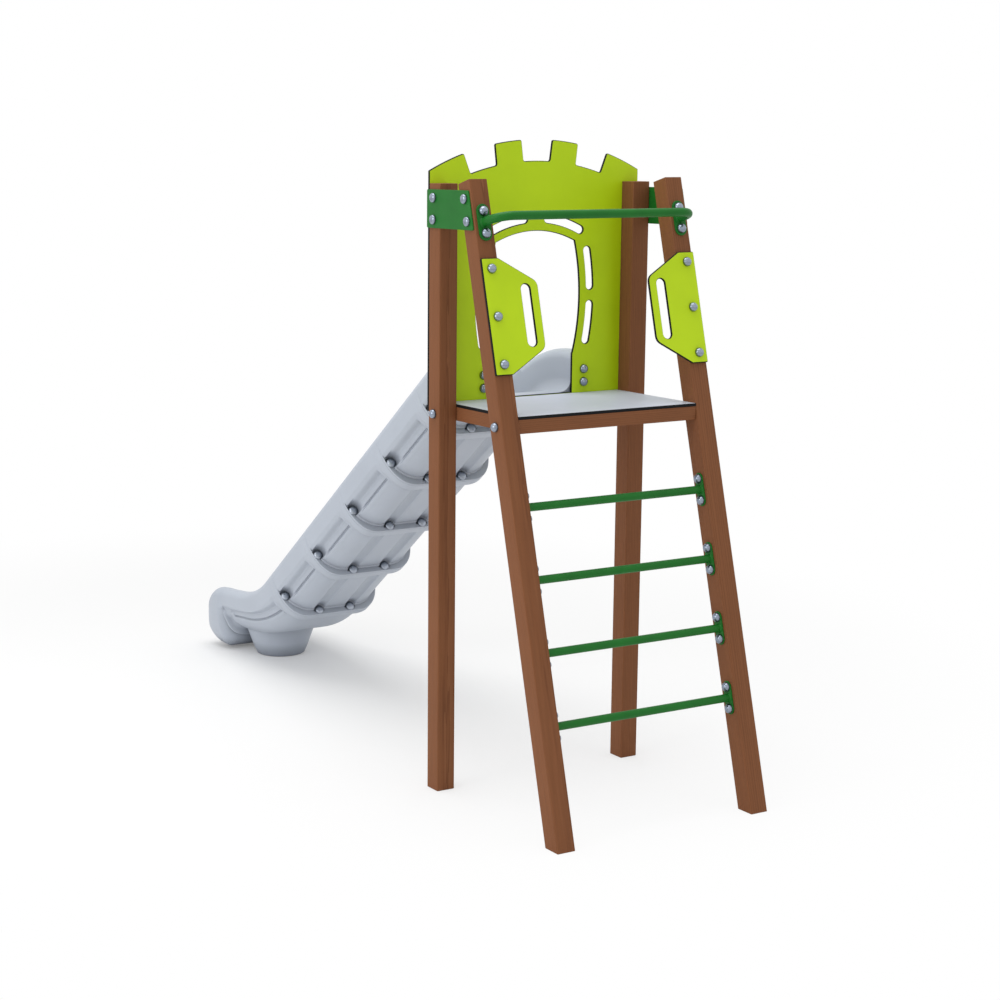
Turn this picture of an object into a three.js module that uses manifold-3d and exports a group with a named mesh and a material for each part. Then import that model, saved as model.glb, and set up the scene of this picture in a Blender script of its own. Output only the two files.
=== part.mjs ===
// A playground slide with its climbing frame. Lengths are in millimetres and +Z is up.
// X runs across the ladder, and +Y runs from the ladder, through the doorway, to the slide's exit.
// Y is first counted from the front faces of the upright posts, and Z from the ground.
import * as THREE from "three";
import { mergeVertices } from "three/addons/utils/BufferGeometryUtils.js";
import Module from "manifold-3d";

const wasm = await Module();
wasm.setup();
const { degToRad, lerp } = THREE.MathUtils;

// Timber frame: square posts and leaning stiles
const timberWidth = 90;
const timberEdgeRadius = 8;
const frameWidth = 1115;
const stileLean = degToRad(14.9);
const stileFootReach = 959; // from the posts' front faces to the stiles' front edge, on the ground
const postRise = 956; // from the platform's top to the posts' tops
const stileTopRise = 23; // from the posts' tops to the stiles' tops

// Platform
const platformHeight = 1760;
const deckThickness = 13;
const beamWidth = 60;
const frameBoltDrop = 42; // from the platform's top to the bolts in the posts

// Ladder rungs
const rungCount = 4;
const firstRungHeight = 488;
const topRungDrop = 378; // from the platform's top to the highest rung
const rungRadius = 18;
const rungFlangeThickness = 6;
const rungFlangeRadius = 26;
const rungBoltSpacing = 96;

// Plates that tie each post to its stile
const plateThickness = 6;
const plateTopDrop = 25; // below the posts' tops
const plateHeight = 165;
const plateFrontSetback = 9; // behind the stiles' front edges
const plateBackLap = 10; // over the panel's edge, behind the posts
const plateCornerRadius = 8;
const plateBoltEdge = 36; // from the plate's top and bottom edges to its bolts

// Grab bar across the ladder's head, on the stiles' front faces
const barRadius = 19;
const barStandoff = 122;
const barBendRadius = 80;
const barRise = 799; // from the platform's top to the bar's seats on the stiles
const barBoltSpacing = 95;
const barFlangeThickness = 7;
const barFlangeRadius = 31;

// Hand panels on the stiles' front faces
const sheetThickness = 13;
const handPanelRise = 410.5; // from the platform's top to the panels' middles on the stiles
const handPanelHeight = 496;
const handPanelWidth = 266;
const handPanelStraight = 85; // the part of the top and bottom edges that runs square to the stile
const handPanelSlant = 106; // how far the slanted edges fall
const handPanelCornerRadius = 40;
const handPanelSmallRadius = 6;
const handSlotInset = 64; // from the panel's inner edge to the slot's middle line
const handSlotWidth = 46;
const handSlotHeight = 268;
const handBoltSpacing = 203;

// Panel with battlements and doorway, on the posts' back faces
const panelBottomDrop = 36; // below the platform's top
const crownRise = 403; // from the doorway's crown to the arc that the merlons reach
const panelCrownRadius = 1225;
const panelCornerRadius = 6;
const notchAngle = degToRad(14.3);
const notchOffsets = [-1, 0, 1]; // places of the notches, in notch angles from the middle
const notchTopWidth = 165;
const notchFloorWidth = 140;
const notchDepth = 94;
const notchCornerRadius = 9;
const sillRise = 4; // from the platform's top to the doorway's sill
const doorHalfWidth = 206;
const doorJambHeight = 178; // from the sill to the small step outwards
const doorStep = 6;
const doorWidestHalf = 242;
const doorSideRadius = 1016;
const doorSideMiddle = 441; // above the sill, where the doorway is widest
const doorShoulder = 690; // above the sill, where the sides meet the arch
const doorCrown = 737; // above the sill
const doorArchRadius = 488;
const slotWidth = 37;
const archSlotOffset = 56; // from the arch's edge to the middle line of the slots over it
const archSlotStart = degToRad(6.7);
const archSlotEnd = degToRad(26);
const sideSlotOffset = 57;
const sideSlotStart = degToRad(2.3);
const sideSlotEnd = degToRad(10.9);
const panelBoltEdge = 70; // from the panel's bottom edge to its lowest bolts

// Slide: its trough, seen along the slope, with heights counted from the sliding floor
const slopeAngle = degToRad(37.6);
const sectionCount = 4;
const troughHalf = 302;
const troughInnerHalf = 212;
const troughTop = 227;
const floorThickness = 37;
const floorFlatHalf = 135;
const floorCornerHalf = 204;
const skinFlatHalf = 135;
const skinCornerHalf = 235;
const collarDepth = 34; // how far the collars stand out below the skin
const collarFlatHalf = 150;
const collarCornerHalf = 270;
const collarLength = 45;
const collarTaper = 40;
const flangeThickness = 12;
const channelRadius = 36;
const channelSetback = 8; // from the end of the collar's taper to the start of the bolt channels
const sideChannelHalf = 280; // to the middle lines of the channels above the side bolts
const sideChannelHeight = 58;
const lowerChannelDrop = 19; // from the skin's underside down to the lower channels' middle lines
const jointBoltEdge = 26; // from the flange's lower edge to the lower bolts
const lowerBoltHalf = 95;
const sideBoltHalf = 269;
const sideBoltHeight = 59;

// Entry section, behind the doorway
const mouthTop = 189; // height of the rims above the sill
const mouthRun = 59; // level floor before the crest
const mouthCollarLength = 28;
const mouthTaper = 26;
const crestRadius = 400;
const entryStraight = 135;
const entryBoltHalf = 272;
const entryBoltRises = [45, 104]; // above the sill

// Exit section: bend, run-out, rolled nose and conical foot
const exitStraight = 99;
const bendRadius = 850;
const runOutAngle = degToRad(6);
const runOutHeight = 182; // the floor, where the run-out begins
const runOutTop = 216.5;
const runOutThickness = 25;
const runOutCornerHalf = 258;
const runOutChannelRadius = 25;
const runOutChannelHalf = 300;
const runOutChannelHeight = 95;
const runOutLength = 261; // from there to the back edge of the nose
const recessLength = 88; // the skin's lower half draws in this far before the nose
const recessDepth = 28;
const beadWidth = 10; // the raised strip between the recess and the nose
const noseLength = 232;
const noseRoll = 50; // length over which the nose's back edge rolls out to its full size
const noseBackHeight = 69; // from the ground to the lowest point of that back edge
const noseBackFlatHalf = 137;
const noseClearance = 18; // between the nose and the ground
const noseTop = 220;
const noseFlatHalf = 216;
const noseCornerHalf = 286;
const noseFlare = 8; // how far the nose stands out past the rims
const rimFallLength = 183; // the rims start to fall this far from the tip
const sideRoundLength = 171;
const underRoundLength = 126;
const floorRoundLength = 100;
const lipHeight = 91; // the tip's middle line
const lipSideHeight = 161;
const lipHalf = 268;
const footRadius = 140;
const footDraft = degToRad(19.8);
const footEdge = 9;
const footSetback = 149; // from the back edge of the nose
const footSeatShare = 0.3; // of the run-out's thickness, from its floor to the foot's hidden top

// Domed bolts
const boltHeadRadius = 22;
const boltHeadHeight = 15;
const boltShankRadius = 6;
const boltClearance = 0.5;
const boltGrip = 48; // how deep a bolt goes into what it is screwed into

// Seats, cuts and facets
const touch = 0.3; // gap between pieces that touch
const overrun = 5; // how far a cutting shape runs past what it cuts
const weldLap = 1; // how far joined shapes run into each other
const mergeDistance = 1e-3;
const boltSides = 10;
const tubeSides = 12;
const cornerSteps = 5;
const rimSteps = 6;
const floorSteps = 4;
const bendSteps = 5;
const rollShares = [0, 0.06, 0.25, 0.6]; // of the nose's roll
const noseAngleShares = [0.14, 0.3, 0.45, 0.58, 0.7, 0.8, 0.89, 0.97]; // of a quarter turn
const domeShares = [0.55, 0.9]; // of the bolt head's radius, where its dome bends
const domeRiseShares = [0.84, 0.42]; // of its height, there
const joinShare = 0.65; // height at which the lower corner meets the trough's side
const breakShare = 0.4; // height at which the inner corner meets the trough's inner side
const barSteps = 34;

// Places that follow from the sizes above
const postHeight = platformHeight + postRise;
const frameHalf = frameWidth / 2;
const bayHalf = frameHalf - timberWidth; // to the inner faces of posts and stiles
const timberMiddle = frameHalf - timberWidth / 2;
const leanTan = Math.tan(stileLean);
const leanCos = Math.cos(stileLean);
const stileFrontY = (height) => height * leanTan - stileFootReach;
const stileMiddleY = (height) => stileFrontY(height) + timberWidth / 2 / leanCos;
const stileMiddleRun = (height) => height / leanCos + (timberWidth / 2) * leanTan;
const barRun = (platformHeight + barRise) / leanCos; // along the stiles, from their front feet
const handPanelMiddleRun = (platformHeight + handPanelRise) / leanCos;
const rungRise = (platformHeight - topRungDrop - firstRungHeight) / (rungCount - 1);
const beamTop = platformHeight - deckThickness - touch;
const deckFrontY = stileFrontY(platformHeight - deckThickness);
const frameBoltHeight = platformHeight - frameBoltDrop;
const plateTop = postHeight - plateTopDrop;
const plateBottom = plateTop - plateHeight;
const plateBoltHeights = [plateTop - plateBoltEdge, plateBottom + plateBoltEdge];
const panelFrontY = timberWidth + touch;
const panelBackY = panelFrontY + sheetThickness;
const panelBottom = platformHeight - panelBottomDrop;
const panelBoltHeights = [
  panelBottom + panelBoltEdge,
  (panelBottom + plateBottom) / 2,
  (plateTop + plateBottom) / 2,
];
const sill = platformHeight + sillRise;
const panelCrown = sill + doorCrown + crownRise;
const boltHoleRadius = boltShankRadius + boltClearance;
const handBoltRuns = [-1, 0, 1].map((k) => handPanelMiddleRun + k * handBoltSpacing);
const barBoltRuns = [-1, 1].map((k) => barRun + (k * barBoltSpacing) / 2);

// The slide's floor line: level mouth, crest, slope, bend and run-out
const slopeSin = Math.sin(slopeAngle);
const slopeCos = Math.cos(slopeAngle);
const crestY = panelBackY + mouthRun;
const crestDrop = crestRadius * (1 - slopeCos);
const bendDrop = bendRadius * (Math.cos(runOutAngle) - slopeCos);
const slopeDrop = sill - crestDrop - bendDrop - runOutHeight;
const sectionPitch = (slopeDrop / slopeSin - entryStraight - exitStraight) / sectionCount;

// A station is a point of the floor line, with the tilt of the outline that stands on it.
const station = (y, z, tilt) => ({ y, z, tilt });
const crestStation = (angle) =>
  station(
    crestY + crestRadius * Math.sin(angle),
    sill - crestRadius * (1 - Math.cos(angle)),
    angle,
  );
const slopeStart = crestStation(slopeAngle);
const slopeStation = (distance) =>
  station(slopeStart.y + distance * slopeCos, slopeStart.z - distance * slopeSin, slopeAngle);
const jointStation = (index) => slopeStation(entryStraight + index * sectionPitch);
const bendStart = slopeStation(entryStraight + sectionCount * sectionPitch + exitStraight);
const bendStation = (angle) =>
  station(
    bendStart.y + bendRadius * (slopeSin - Math.sin(angle)),
    bendStart.z - bendRadius * (Math.cos(angle) - slopeCos),
    angle,
  );
const runOutStart = bendStation(runOutAngle);
const runOutFloor = (y) => runOutStart.z - (y - runOutStart.y) * Math.tan(runOutAngle);
const noseBackY = runOutStart.y + runOutLength;
const noseTipY = noseBackY + noseLength;
const recessStart = noseBackY - recessLength;
const recessShare = 1 - recessDepth / troughHalf;
const footY = noseBackY - footSetback;

const materials = {
  timber: new THREE.MeshStandardMaterial({ color: 0x7d5038, roughness: 0.6, metalness: 0 }),
  lime: new THREE.MeshStandardMaterial({ color: 0xb2d421, roughness: 0.45, metalness: 0 }),
  green: new THREE.MeshStandardMaterial({ color: 0x23803c, roughness: 0.35, metalness: 0.1 }),
  deck: new THREE.MeshStandardMaterial({ color: 0xbbc3c9, roughness: 0.55, metalness: 0 }),
  plastic: new THREE.MeshStandardMaterial({ color: 0xbcc3cf, roughness: 0.4, metalness: 0 }),
  steel: new THREE.MeshStandardMaterial({ color: 0xaab4c0, roughness: 0.25, metalness: 0.9 }),
};

// Turns a closed geometry into a solid that can be joined and cut.
function solid(geometry) {
  const bare = new THREE.BufferGeometry();
  bare.setAttribute("position", geometry.getAttribute("position"));
  bare.setIndex(geometry.index);
  const merged = mergeVertices(bare, mergeDistance);
  const corners = merged.index.array;
  const kept = [];
  for (let i = 0; i < corners.length; i += 3) {
    const [a, b, c] = corners.slice(i, i + 3);
    if (a !== b && b !== c && c !== a) kept.push(a, b, c);
  }
  const vertProperties = merged.getAttribute("position").array;
  const build = (triVerts) =>
    new wasm.Manifold(
      new wasm.Mesh({ numProp: 3, vertProperties, triVerts: new Uint32Array(triVerts) }),
    );
  const made = build(kept);
  return made.volume() < 0 ? build(kept.reverse()) : made;
}

// Turns a solid back into a geometry.
function geometryOf(made) {
  const { numProp, vertProperties, triVerts } = made.getMesh();
  const positions = [];
  for (const index of triVerts) {
    const start = index * numProp;
    positions.push(...vertProperties.slice(start, start + 3));
  }
  const geometry = new THREE.BufferGeometry();
  geometry.setAttribute("position", new THREE.Float32BufferAttribute(positions, 3));
  geometry.computeVertexNormals();
  return geometry;
}

const join = (shapes) => shapes.reduce((whole, shape) => whole.add(shape));
const cut = (body, tools) => tools.reduce((left, tool) => left.subtract(tool), body);

function piece(name, made, material) {
  const mesh = new THREE.Mesh(geometryOf(made), material);
  mesh.name = name;
  return mesh;
}

// A box between two corners.
function block([x0, y0, z0], [x1, y1, z1]) {
  const geometry = new THREE.BoxGeometry(x1 - x0, y1 - y0, z1 - z0);
  return solid(geometry.translate((x0 + x1) / 2, (y0 + y1) / 2, (z0 + z1) / 2));
}

// Points of an arc from one angle to another.
function arcPoints(x, y, radius, from, to, steps) {
  return Array.from({ length: steps + 1 }, (_, k) => {
    const angle = lerp(from, to, k / steps);
    return new THREE.Vector2(x + radius * Math.cos(angle), y + radius * Math.sin(angle));
  });
}

// An outline through corners [x, y, radius], with each corner rounded by its radius.
function roundedOutline(corners, steps) {
  return corners.flatMap(([x, y, radius], index) => {
    const corner = new THREE.Vector2(x, y);
    if (!radius) return [corner];
    const count = corners.length;
    const [before, after] = [corners[(index + count - 1) % count], corners[(index + 1) % count]];
    const toBefore = new THREE.Vector2(before[0], before[1]).sub(corner).normalize();
    const toAfter = new THREE.Vector2(after[0], after[1]).sub(corner).normalize();
    const halfAngle = Math.acos(toBefore.dot(toAfter)) / 2;
    const middle = toBefore.clone().add(toAfter).normalize();
    const centre = corner.clone().addScaledVector(middle, radius / Math.sin(halfAngle));
    const reach = radius / Math.tan(halfAngle);
    const start = corner.clone().addScaledVector(toBefore, reach).sub(centre);
    const end = corner.clone().addScaledVector(toAfter, reach).sub(centre);
    const turn = Math.atan2(start.cross(end), start.dot(end));
    const from = start.angle();
    return arcPoints(centre.x, centre.y, radius, from, from + turn, steps);
  });
}

function rectangle(x0, y0, x1, y1, radius) {
  return [
    [x0, y0, radius],
    [x1, y0, radius],
    [x1, y1, radius],
    [x0, y1, radius],
  ];
}

// A slot with round ends whose middle line is an arc.
function arcSlot(x, y, radius, from, to) {
  const half = slotWidth / 2;
  const capAt = (angle, turn) => {
    const capX = x + radius * Math.cos(angle);
    const capY = y + radius * Math.sin(angle);
    return arcPoints(capX, capY, half, angle + turn, angle + turn + Math.PI, cornerSteps);
  };
  return [
    ...arcPoints(x, y, radius + half, from, to, cornerSteps).slice(1, -1),
    ...capAt(to, 0),
    ...arcPoints(x, y, radius - half, to, from, cornerSteps).slice(1, -1),
    ...capAt(from, Math.PI),
  ];
}

// A slab of an outline: outline x and y become X and Z, and the thickness runs along +Y from 0.
function slab(outline, thickness, holes = []) {
  const shape = new THREE.Shape(outline);
  shape.holes = holes.map((hole) => new THREE.Path(hole));
  const geometry = new THREE.ExtrudeGeometry(shape, { depth: thickness, bevelEnabled: false });
  return solid(geometry.rotateX(Math.PI / 2).translate(0, thickness, 0));
}

// A rod between two points.
function rod(from, to, radius, sides = boltSides) {
  const start = new THREE.Vector3(...from);
  const along = new THREE.Vector3(...to).sub(start);
  const geometry = new THREE.CylinderGeometry(radius, radius, along.length(), sides);
  geometry.translate(0, along.length() / 2, 0);
  const up = new THREE.Vector3(0, 1, 0);
  const turn = new THREE.Quaternion().setFromUnitVectors(up, along.normalize());
  return solid(geometry.applyQuaternion(turn).translate(...start));
}

// A skin between rings of points, closed at both ends. The caps are cut in the plane of two axes.
function loft(rings, axes) {
  const size = rings[0].length;
  const indices = [];
  for (let r = 0; r + 1 < rings.length; r += 1) {
    for (let i = 0; i < size; i += 1) {
      const [a, b] = [r * size + i, r * size + ((i + 1) % size)];
      indices.push(a, b, a + size, b, b + size, a + size);
    }
  }
  const capFaces = (ring) => {
    const flat = ring.map((p) => new THREE.Vector2(p[axes[0]], p[axes[1]]));
    const faces = THREE.ShapeUtils.triangulateShape(flat, []);
    return THREE.ShapeUtils.isClockWise(flat) ? faces.map(([a, b, c]) => [a, c, b]) : faces;
  };
  const forwards = windsWith(rings, axes);
  const last = (rings.length - 1) * size;
  for (const [a, b, c] of capFaces(rings[0])) {
    indices.push(...(forwards ? [a, c, b] : [a, b, c]));
  }
  for (const [a, b, c] of capFaces(rings.at(-1))) {
    indices.push(...(forwards ? [last + a, last + b, last + c] : [last + a, last + c, last + b]));
  }
  const geometry = new THREE.BufferGeometry();
  geometry.setFromPoints(rings.flat());
  geometry.setIndex(indices);
  return solid(geometry);
}

// Whether the caps' own winding agrees with that of the skin between the rings.
function windsWith(rings, axes) {
  const flat = rings[0].map((p) => new THREE.Vector2(p[axes[0]], p[axes[1]]));
  return !THREE.ShapeUtils.isClockWise(flat);
}

// A domed bolt whose head sits on the origin, with its shank going down.
function bolt(length) {
  const profile = [
    [0, boltHeadHeight],
    ...domeShares.map((share, k) => [share * boltHeadRadius, domeRiseShares[k] * boltHeadHeight]),
    [boltHeadRadius, 0],
    [boltShankRadius, 0],
    [boltShankRadius, -length],
    [0, -length],
  ];
  const points = profile.map(([r, z]) => new THREE.Vector2(r, z)).reverse();
  return solid(new THREE.LatheGeometry(points, boltSides).rotateX(Math.PI / 2));
}

// Bolts as pieces: each place is [name, x, y, z] of the face it sits on, and facing points out of it.
function boltPieces(places, facing, thickness) {
  const out = new THREE.Vector3(...facing);
  const turn = new THREE.Quaternion().setFromUnitVectors(new THREE.Vector3(0, 0, 1), out);
  return places.map(([name, x, y, z]) => {
    const mesh = piece(name, bolt(thickness + boltGrip), materials.steel);
    mesh.quaternion.copy(turn);
    mesh.position.set(x, y, z).addScaledVector(out, touch);
    return mesh;
  });
}

// A blind hole for a bolt: it starts outside the face and ends past the shank's tip.
function boltHole([x, y, z], facing, thickness) {
  const out = new THREE.Vector3(...facing);
  const place = new THREE.Vector3(x, y, z);
  const mouth = place.clone().addScaledVector(out, overrun);
  const tip = place.clone().addScaledVector(out, -(thickness + boltGrip + overrun));
  return rod(mouth.toArray(), tip.toArray(), boltHoleRadius);
}

const sides = [
  { side: "left", sign: -1 },
  { side: "right", sign: 1 },
];

// Upright posts, drilled for the bolts of the frame, the top plates and the panel
function posts() {
  return sides.map(({ side, sign }) => {
    const inner = Math.min(sign * bayHalf, sign * frameHalf);
    const outline = rectangle(inner, 0, inner + timberWidth, timberWidth, timberEdgeRadius);
    const shape = new THREE.Shape(roundedOutline(outline, 2));
    const body = solid(
      new THREE.ExtrudeGeometry(shape, { depth: postHeight, bevelEnabled: false }),
    );
    const faceX = sign * frameHalf;
    const out = [sign, 0, 0];
    const holes = [
      boltHole([faceX, timberWidth / 2, frameBoltHeight], out, timberWidth),
      ...plateBoltHeights.map((z) => boltHole([faceX, timberWidth / 2, z], out, 0)),
      ...panelBoltHeights.map((z) => boltHole([sign * timberMiddle, timberWidth, z], [0, 1, 0], 0)),
    ];
    return piece("post_" + side, cut(body, holes), materials.timber);
  });
}

// Leaning stiles in their own frame: Z runs up their front faces from the foot, Y to the back
function stiles() {
  const length = (postHeight + stileTopRise) / leanCos;
  const ground = new THREE.BoxGeometry(frameWidth * 2, timberWidth * 4, timberWidth * 2);
  const underground = solid(ground.translate(0, 0, -timberWidth).rotateX(stileLean));
  return sides.map(({ side, sign }) => {
    const inner = Math.min(sign * bayHalf, sign * frameHalf);
    const outline = rectangle(inner, 0, inner + timberWidth, timberWidth, timberEdgeRadius);
    const shape = new THREE.Shape(roundedOutline(outline, 2));
    const body = solid(new THREE.ExtrudeGeometry(shape, { depth: length, bevelEnabled: false }));
    const middle = timberWidth / 2;
    const faceX = sign * frameHalf;
    const out = [sign, 0, 0];
    const front = [0, -1, 0];
    const holes = [
      boltHole([faceX, middle, stileMiddleRun(frameBoltHeight)], out, timberWidth),
      ...plateBoltHeights.map((z) => boltHole([faceX, middle, stileMiddleRun(z)], out, 0)),
      ...barBoltRuns.map((run) => boltHole([sign * timberMiddle, 0, run], front, 0)),
      ...handBoltRuns.map((run) => boltHole([sign * timberMiddle, 0, run], front, 0)),
    ];
    return piece("stile_" + side, cut(body, [underground, ...holes]), materials.timber);
  });
}

// Rungs in the stiles' frame: a tube between two flanges that are bolted to the stiles
function rungs() {
  const flangeX = bayHalf - touch - rungFlangeThickness;
  const endRise = rungBoltSpacing / 2;
  const flangeOutline = [
    ...arcPoints(0, endRise, rungFlangeRadius, 0, Math.PI, rimSteps),
    ...arcPoints(0, -endRise, rungFlangeRadius, Math.PI, 2 * Math.PI, rimSteps),
  ];
  const flange = slab(flangeOutline, rungFlangeThickness);
  const head = bolt(0);
  const end = join([
    flange.rotate([0, 0, -90]).translate([flangeX, 0, 0]),
    ...[-endRise, endRise].map((z) => head.rotate([0, -90, 0]).translate([flangeX + weldLap, 0, z])),
  ]);
  const reach = flangeX + weldLap;
  const tube = rod([-reach, 0, 0], [reach, 0, 0], rungRadius, tubeSides);
  const whole = join([tube, end, end.mirror([1, 0, 0])]);
  return Array.from({ length: rungCount }, (_, k) => {
    const rung = piece("rung_" + (k + 1), whole, materials.green);
    rung.position.set(0, timberWidth / 2, stileMiddleRun(firstRungHeight + k * rungRise));
    return rung;
  });
}

// Grab bar in the stiles' frame: a bent tube between two flanges on the stiles' front faces
function grabBar() {
  const flangeBackY = -touch;
  const flangeFrontY = flangeBackY - barFlangeThickness;
  const legEnd = -barStandoff + barBendRadius;
  const bendX = timberMiddle - barBendRadius;
  const path = new THREE.CurvePath();
  const left = arcPoints(-bendX, legEnd, barBendRadius, -Math.PI, -Math.PI / 2, bendSteps);
  const right = arcPoints(bendX, legEnd, barBendRadius, -Math.PI / 2, 0, bendSteps);
  const corners = [
    new THREE.Vector2(-timberMiddle, flangeFrontY + weldLap),
    ...left,
    ...right,
    new THREE.Vector2(timberMiddle, flangeFrontY + weldLap),
  ];
  const points = corners.map((p) => new THREE.Vector3(p.x, p.y, barRun));
  points.slice(1).forEach((p, k) => path.add(new THREE.LineCurve3(points[k], p)));
  const circle = new THREE.Shape(arcPoints(0, 0, barRadius, 0, 2 * Math.PI, tubeSides).slice(1));
  const tube = new THREE.ExtrudeGeometry(circle, { extrudePath: path, steps: barSteps });
  const rise = barBoltSpacing / 2;
  const outline = [
    ...arcPoints(0, rise, barFlangeRadius, 0, Math.PI, rimSteps),
    ...arcPoints(0, -rise, barFlangeRadius, Math.PI, 2 * Math.PI, rimSteps),
  ];
  const flanges = sides.map(({ sign }) => {
    const flange = slab(outline, barFlangeThickness);
    const placed = flange.translate([sign * timberMiddle, flangeFrontY, barRun]);
    const holes = barBoltRuns.map((run) =>
      boltHole([sign * timberMiddle, flangeFrontY, run], [0, -1, 0], barFlangeThickness),
    );
    return cut(placed, holes);
  });
  return piece("grab_bar", join([solid(tube), ...flanges]), materials.green);
}

// Hand panels in the stiles' frame, each with a slot to hold
function handPanels() {
  const rise = handPanelHeight / 2;
  const outer = frameHalf;
  const inner = frameHalf - handPanelWidth;
  const turn = frameHalf - handPanelStraight;
  const slotX = inner + handSlotInset;
  const slotHalf = handSlotWidth / 2;
  const slotRise = handSlotHeight / 2 - slotHalf;
  const frontY = -touch - sheetThickness;
  return sides.map(({ side, sign }) => {
    const corners = [
      [outer, -rise, handPanelSmallRadius],
      [outer, rise, handPanelSmallRadius],
      [turn, rise, handPanelSmallRadius],
      [inner, rise - handPanelSlant, handPanelCornerRadius],
      [inner, handPanelSlant - rise, handPanelCornerRadius],
      [turn, -rise, handPanelSmallRadius],
    ].map(([x, z, radius]) => [sign * x, z, radius]);
    const slot = [
      ...arcPoints(sign * slotX, slotRise, slotHalf, 0, Math.PI, rimSteps),
      ...arcPoints(sign * slotX, -slotRise, slotHalf, Math.PI, 2 * Math.PI, rimSteps),
    ];
    const sheet = slab(roundedOutline(corners, cornerSteps), sheetThickness, [slot]);
    const placed = sheet.translate([0, frontY, handPanelMiddleRun]);
    const holes = handBoltRuns.map((run) =>
      boltHole([sign * timberMiddle, frontY, run], [0, -1, 0], sheetThickness),
    );
    return piece("hand_panel_" + side, cut(placed, holes), materials.lime);
  });
}

// Side plates over the tops of post and stile, with a slanted front edge along the stile
function topPlates() {
  const frontAt = (z) => stileFrontY(z) + plateFrontSetback;
  const backY = timberWidth + plateBackLap;
  const corners = [
    [frontAt(plateBottom), plateBottom, plateCornerRadius],
    [backY, plateBottom, plateCornerRadius],
    [backY, plateTop, plateCornerRadius],
    [frontAt(plateTop), plateTop, plateCornerRadius],
  ];
  const plate = slab(roundedOutline(corners, 2), plateThickness);
  return sides.map(({ side, sign }) => {
    const innerX = frameHalf + touch;
    const outerX = innerX + plateThickness;
    const placed = plate.rotate([0, 0, 90]).translate([sign < 0 ? -innerX : outerX, 0, 0]);
    const holes = plateBoltHeights.flatMap((z) =>
      [timberWidth / 2, stileMiddleY(z)].map((y) =>
        boltHole([sign * outerX, y, z], [sign, 0, 0], plateThickness),
      ),
    );
    return piece("top_plate_" + side, cut(placed, holes), materials.green);
  });
}

// Platform: a deck on four beams that fill the bay between the posts and the stiles
function platform() {
  const half = bayHalf - touch;
  const rearY = timberWidth - touch;
  const low = beamTop - beamWidth;
  const frontBack = deckFrontY + beamWidth;
  const rearFront = rearY - beamWidth;
  const frontBolt = [stileMiddleY(frameBoltHeight), frameBoltHeight];
  const rearBolt = [timberWidth / 2, frameBoltHeight];
  const drill = (body, [y, z]) =>
    cut(
      body,
      sides.map(({ sign }) => boltHole([sign * frameHalf, y, z], [sign, 0, 0], timberWidth)),
    );
  const front = block([-half, deckFrontY, low], [half, frontBack, beamTop]);
  const rear = block([-half, rearFront, low], [half, rearY, beamTop]);
  const deck = block(
    [-half, deckFrontY, beamTop + touch],
    [half, rearY, platformHeight],
  );
  const rails = sides.map(({ side, sign }) => {
    const [x0, x1] = [sign * half, sign * (half - beamWidth)].sort((a, b) => a - b);
    const rail = block([x0, frontBack + touch, low], [x1, rearFront - touch, beamTop]);
    return piece("beam_" + side, rail, materials.timber);
  });
  return [
    piece("platform_deck", deck, materials.deck),
    piece("beam_front", drill(front, frontBolt), materials.timber),
    piece("beam_rear", drill(rear, rearBolt), materials.timber),
    ...rails,
  ];
}

// The panel's outline: a straight foot and sides, and a crown with a notch between the merlons
function panelOutline() {
  const centre = panelCrown - panelCrownRadius;
  const cornerAngle = Math.acos(frameHalf / panelCrownRadius);
  const polar = (radius, angle, corner) => [
    radius * Math.sin(angle),
    centre + radius * Math.cos(angle),
    corner,
  ];
  const floorRadius = panelCrownRadius - notchDepth;
  const topTurn = notchTopWidth / 2 / panelCrownRadius;
  const floorTurn = notchFloorWidth / 2 / floorRadius;
  const edgeTurn = Math.PI / 2 - cornerAngle;
  const corners = [
    [-frameHalf, panelBottom, panelCornerRadius],
    [frameHalf, panelBottom, panelCornerRadius],
  ];
  const notches = notchOffsets.map((k) => -k * notchAngle);
  let from = edgeTurn;
  corners.push(polar(panelCrownRadius, from, panelCornerRadius));
  for (const angle of [...notches, null]) {
    const to = angle === null ? -edgeTurn : angle + topTurn;
    corners.push(polar(panelCrownRadius, lerp(from, to, 1 / 3), 0));
    corners.push(polar(panelCrownRadius, lerp(from, to, 2 / 3), 0));
    if (angle === null) break;
    corners.push(polar(panelCrownRadius, angle + topTurn, notchCornerRadius));
    corners.push(polar(floorRadius, angle + floorTurn, notchCornerRadius));
    corners.push(polar(floorRadius, angle, 0));
    corners.push(polar(floorRadius, angle - floorTurn, notchCornerRadius));
    corners.push(polar(panelCrownRadius, angle - topTurn, notchCornerRadius));
    from = angle - topTurn;
  }
  corners.push(polar(panelCrownRadius, -edgeTurn, panelCornerRadius));
  return roundedOutline(corners, 2);
}

// The doorway: straight jambs, a small step, bulging sides and a flat arch
function doorOutline() {
  const sideX = doorWidestHalf - doorSideRadius;
  const sideY = sill + doorSideMiddle;
  const archY = sill + doorCrown - doorArchRadius;
  const low = Math.asin((doorJambHeight + doorStep - doorSideMiddle) / doorSideRadius);
  const high = Math.asin((doorShoulder - doorSideMiddle) / doorSideRadius);
  const shoulderX = sideX + doorSideRadius * Math.cos(high);
  const archTurn = Math.acos(shoulderX / doorArchRadius);
  const arch = arcPoints(0, archY, doorArchRadius, archTurn, Math.PI - archTurn, 2 * cornerSteps);
  const right = [
    new THREE.Vector2(doorHalfWidth, sill),
    new THREE.Vector2(doorHalfWidth, sill + doorJambHeight),
    ...arcPoints(sideX, sideY, doorSideRadius, low, high, cornerSteps + 1),
  ];
  const left = right.map((p) => new THREE.Vector2(-p.x, p.y)).reverse();
  return [...right, ...arch.slice(1, -1), ...left];
}

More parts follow.
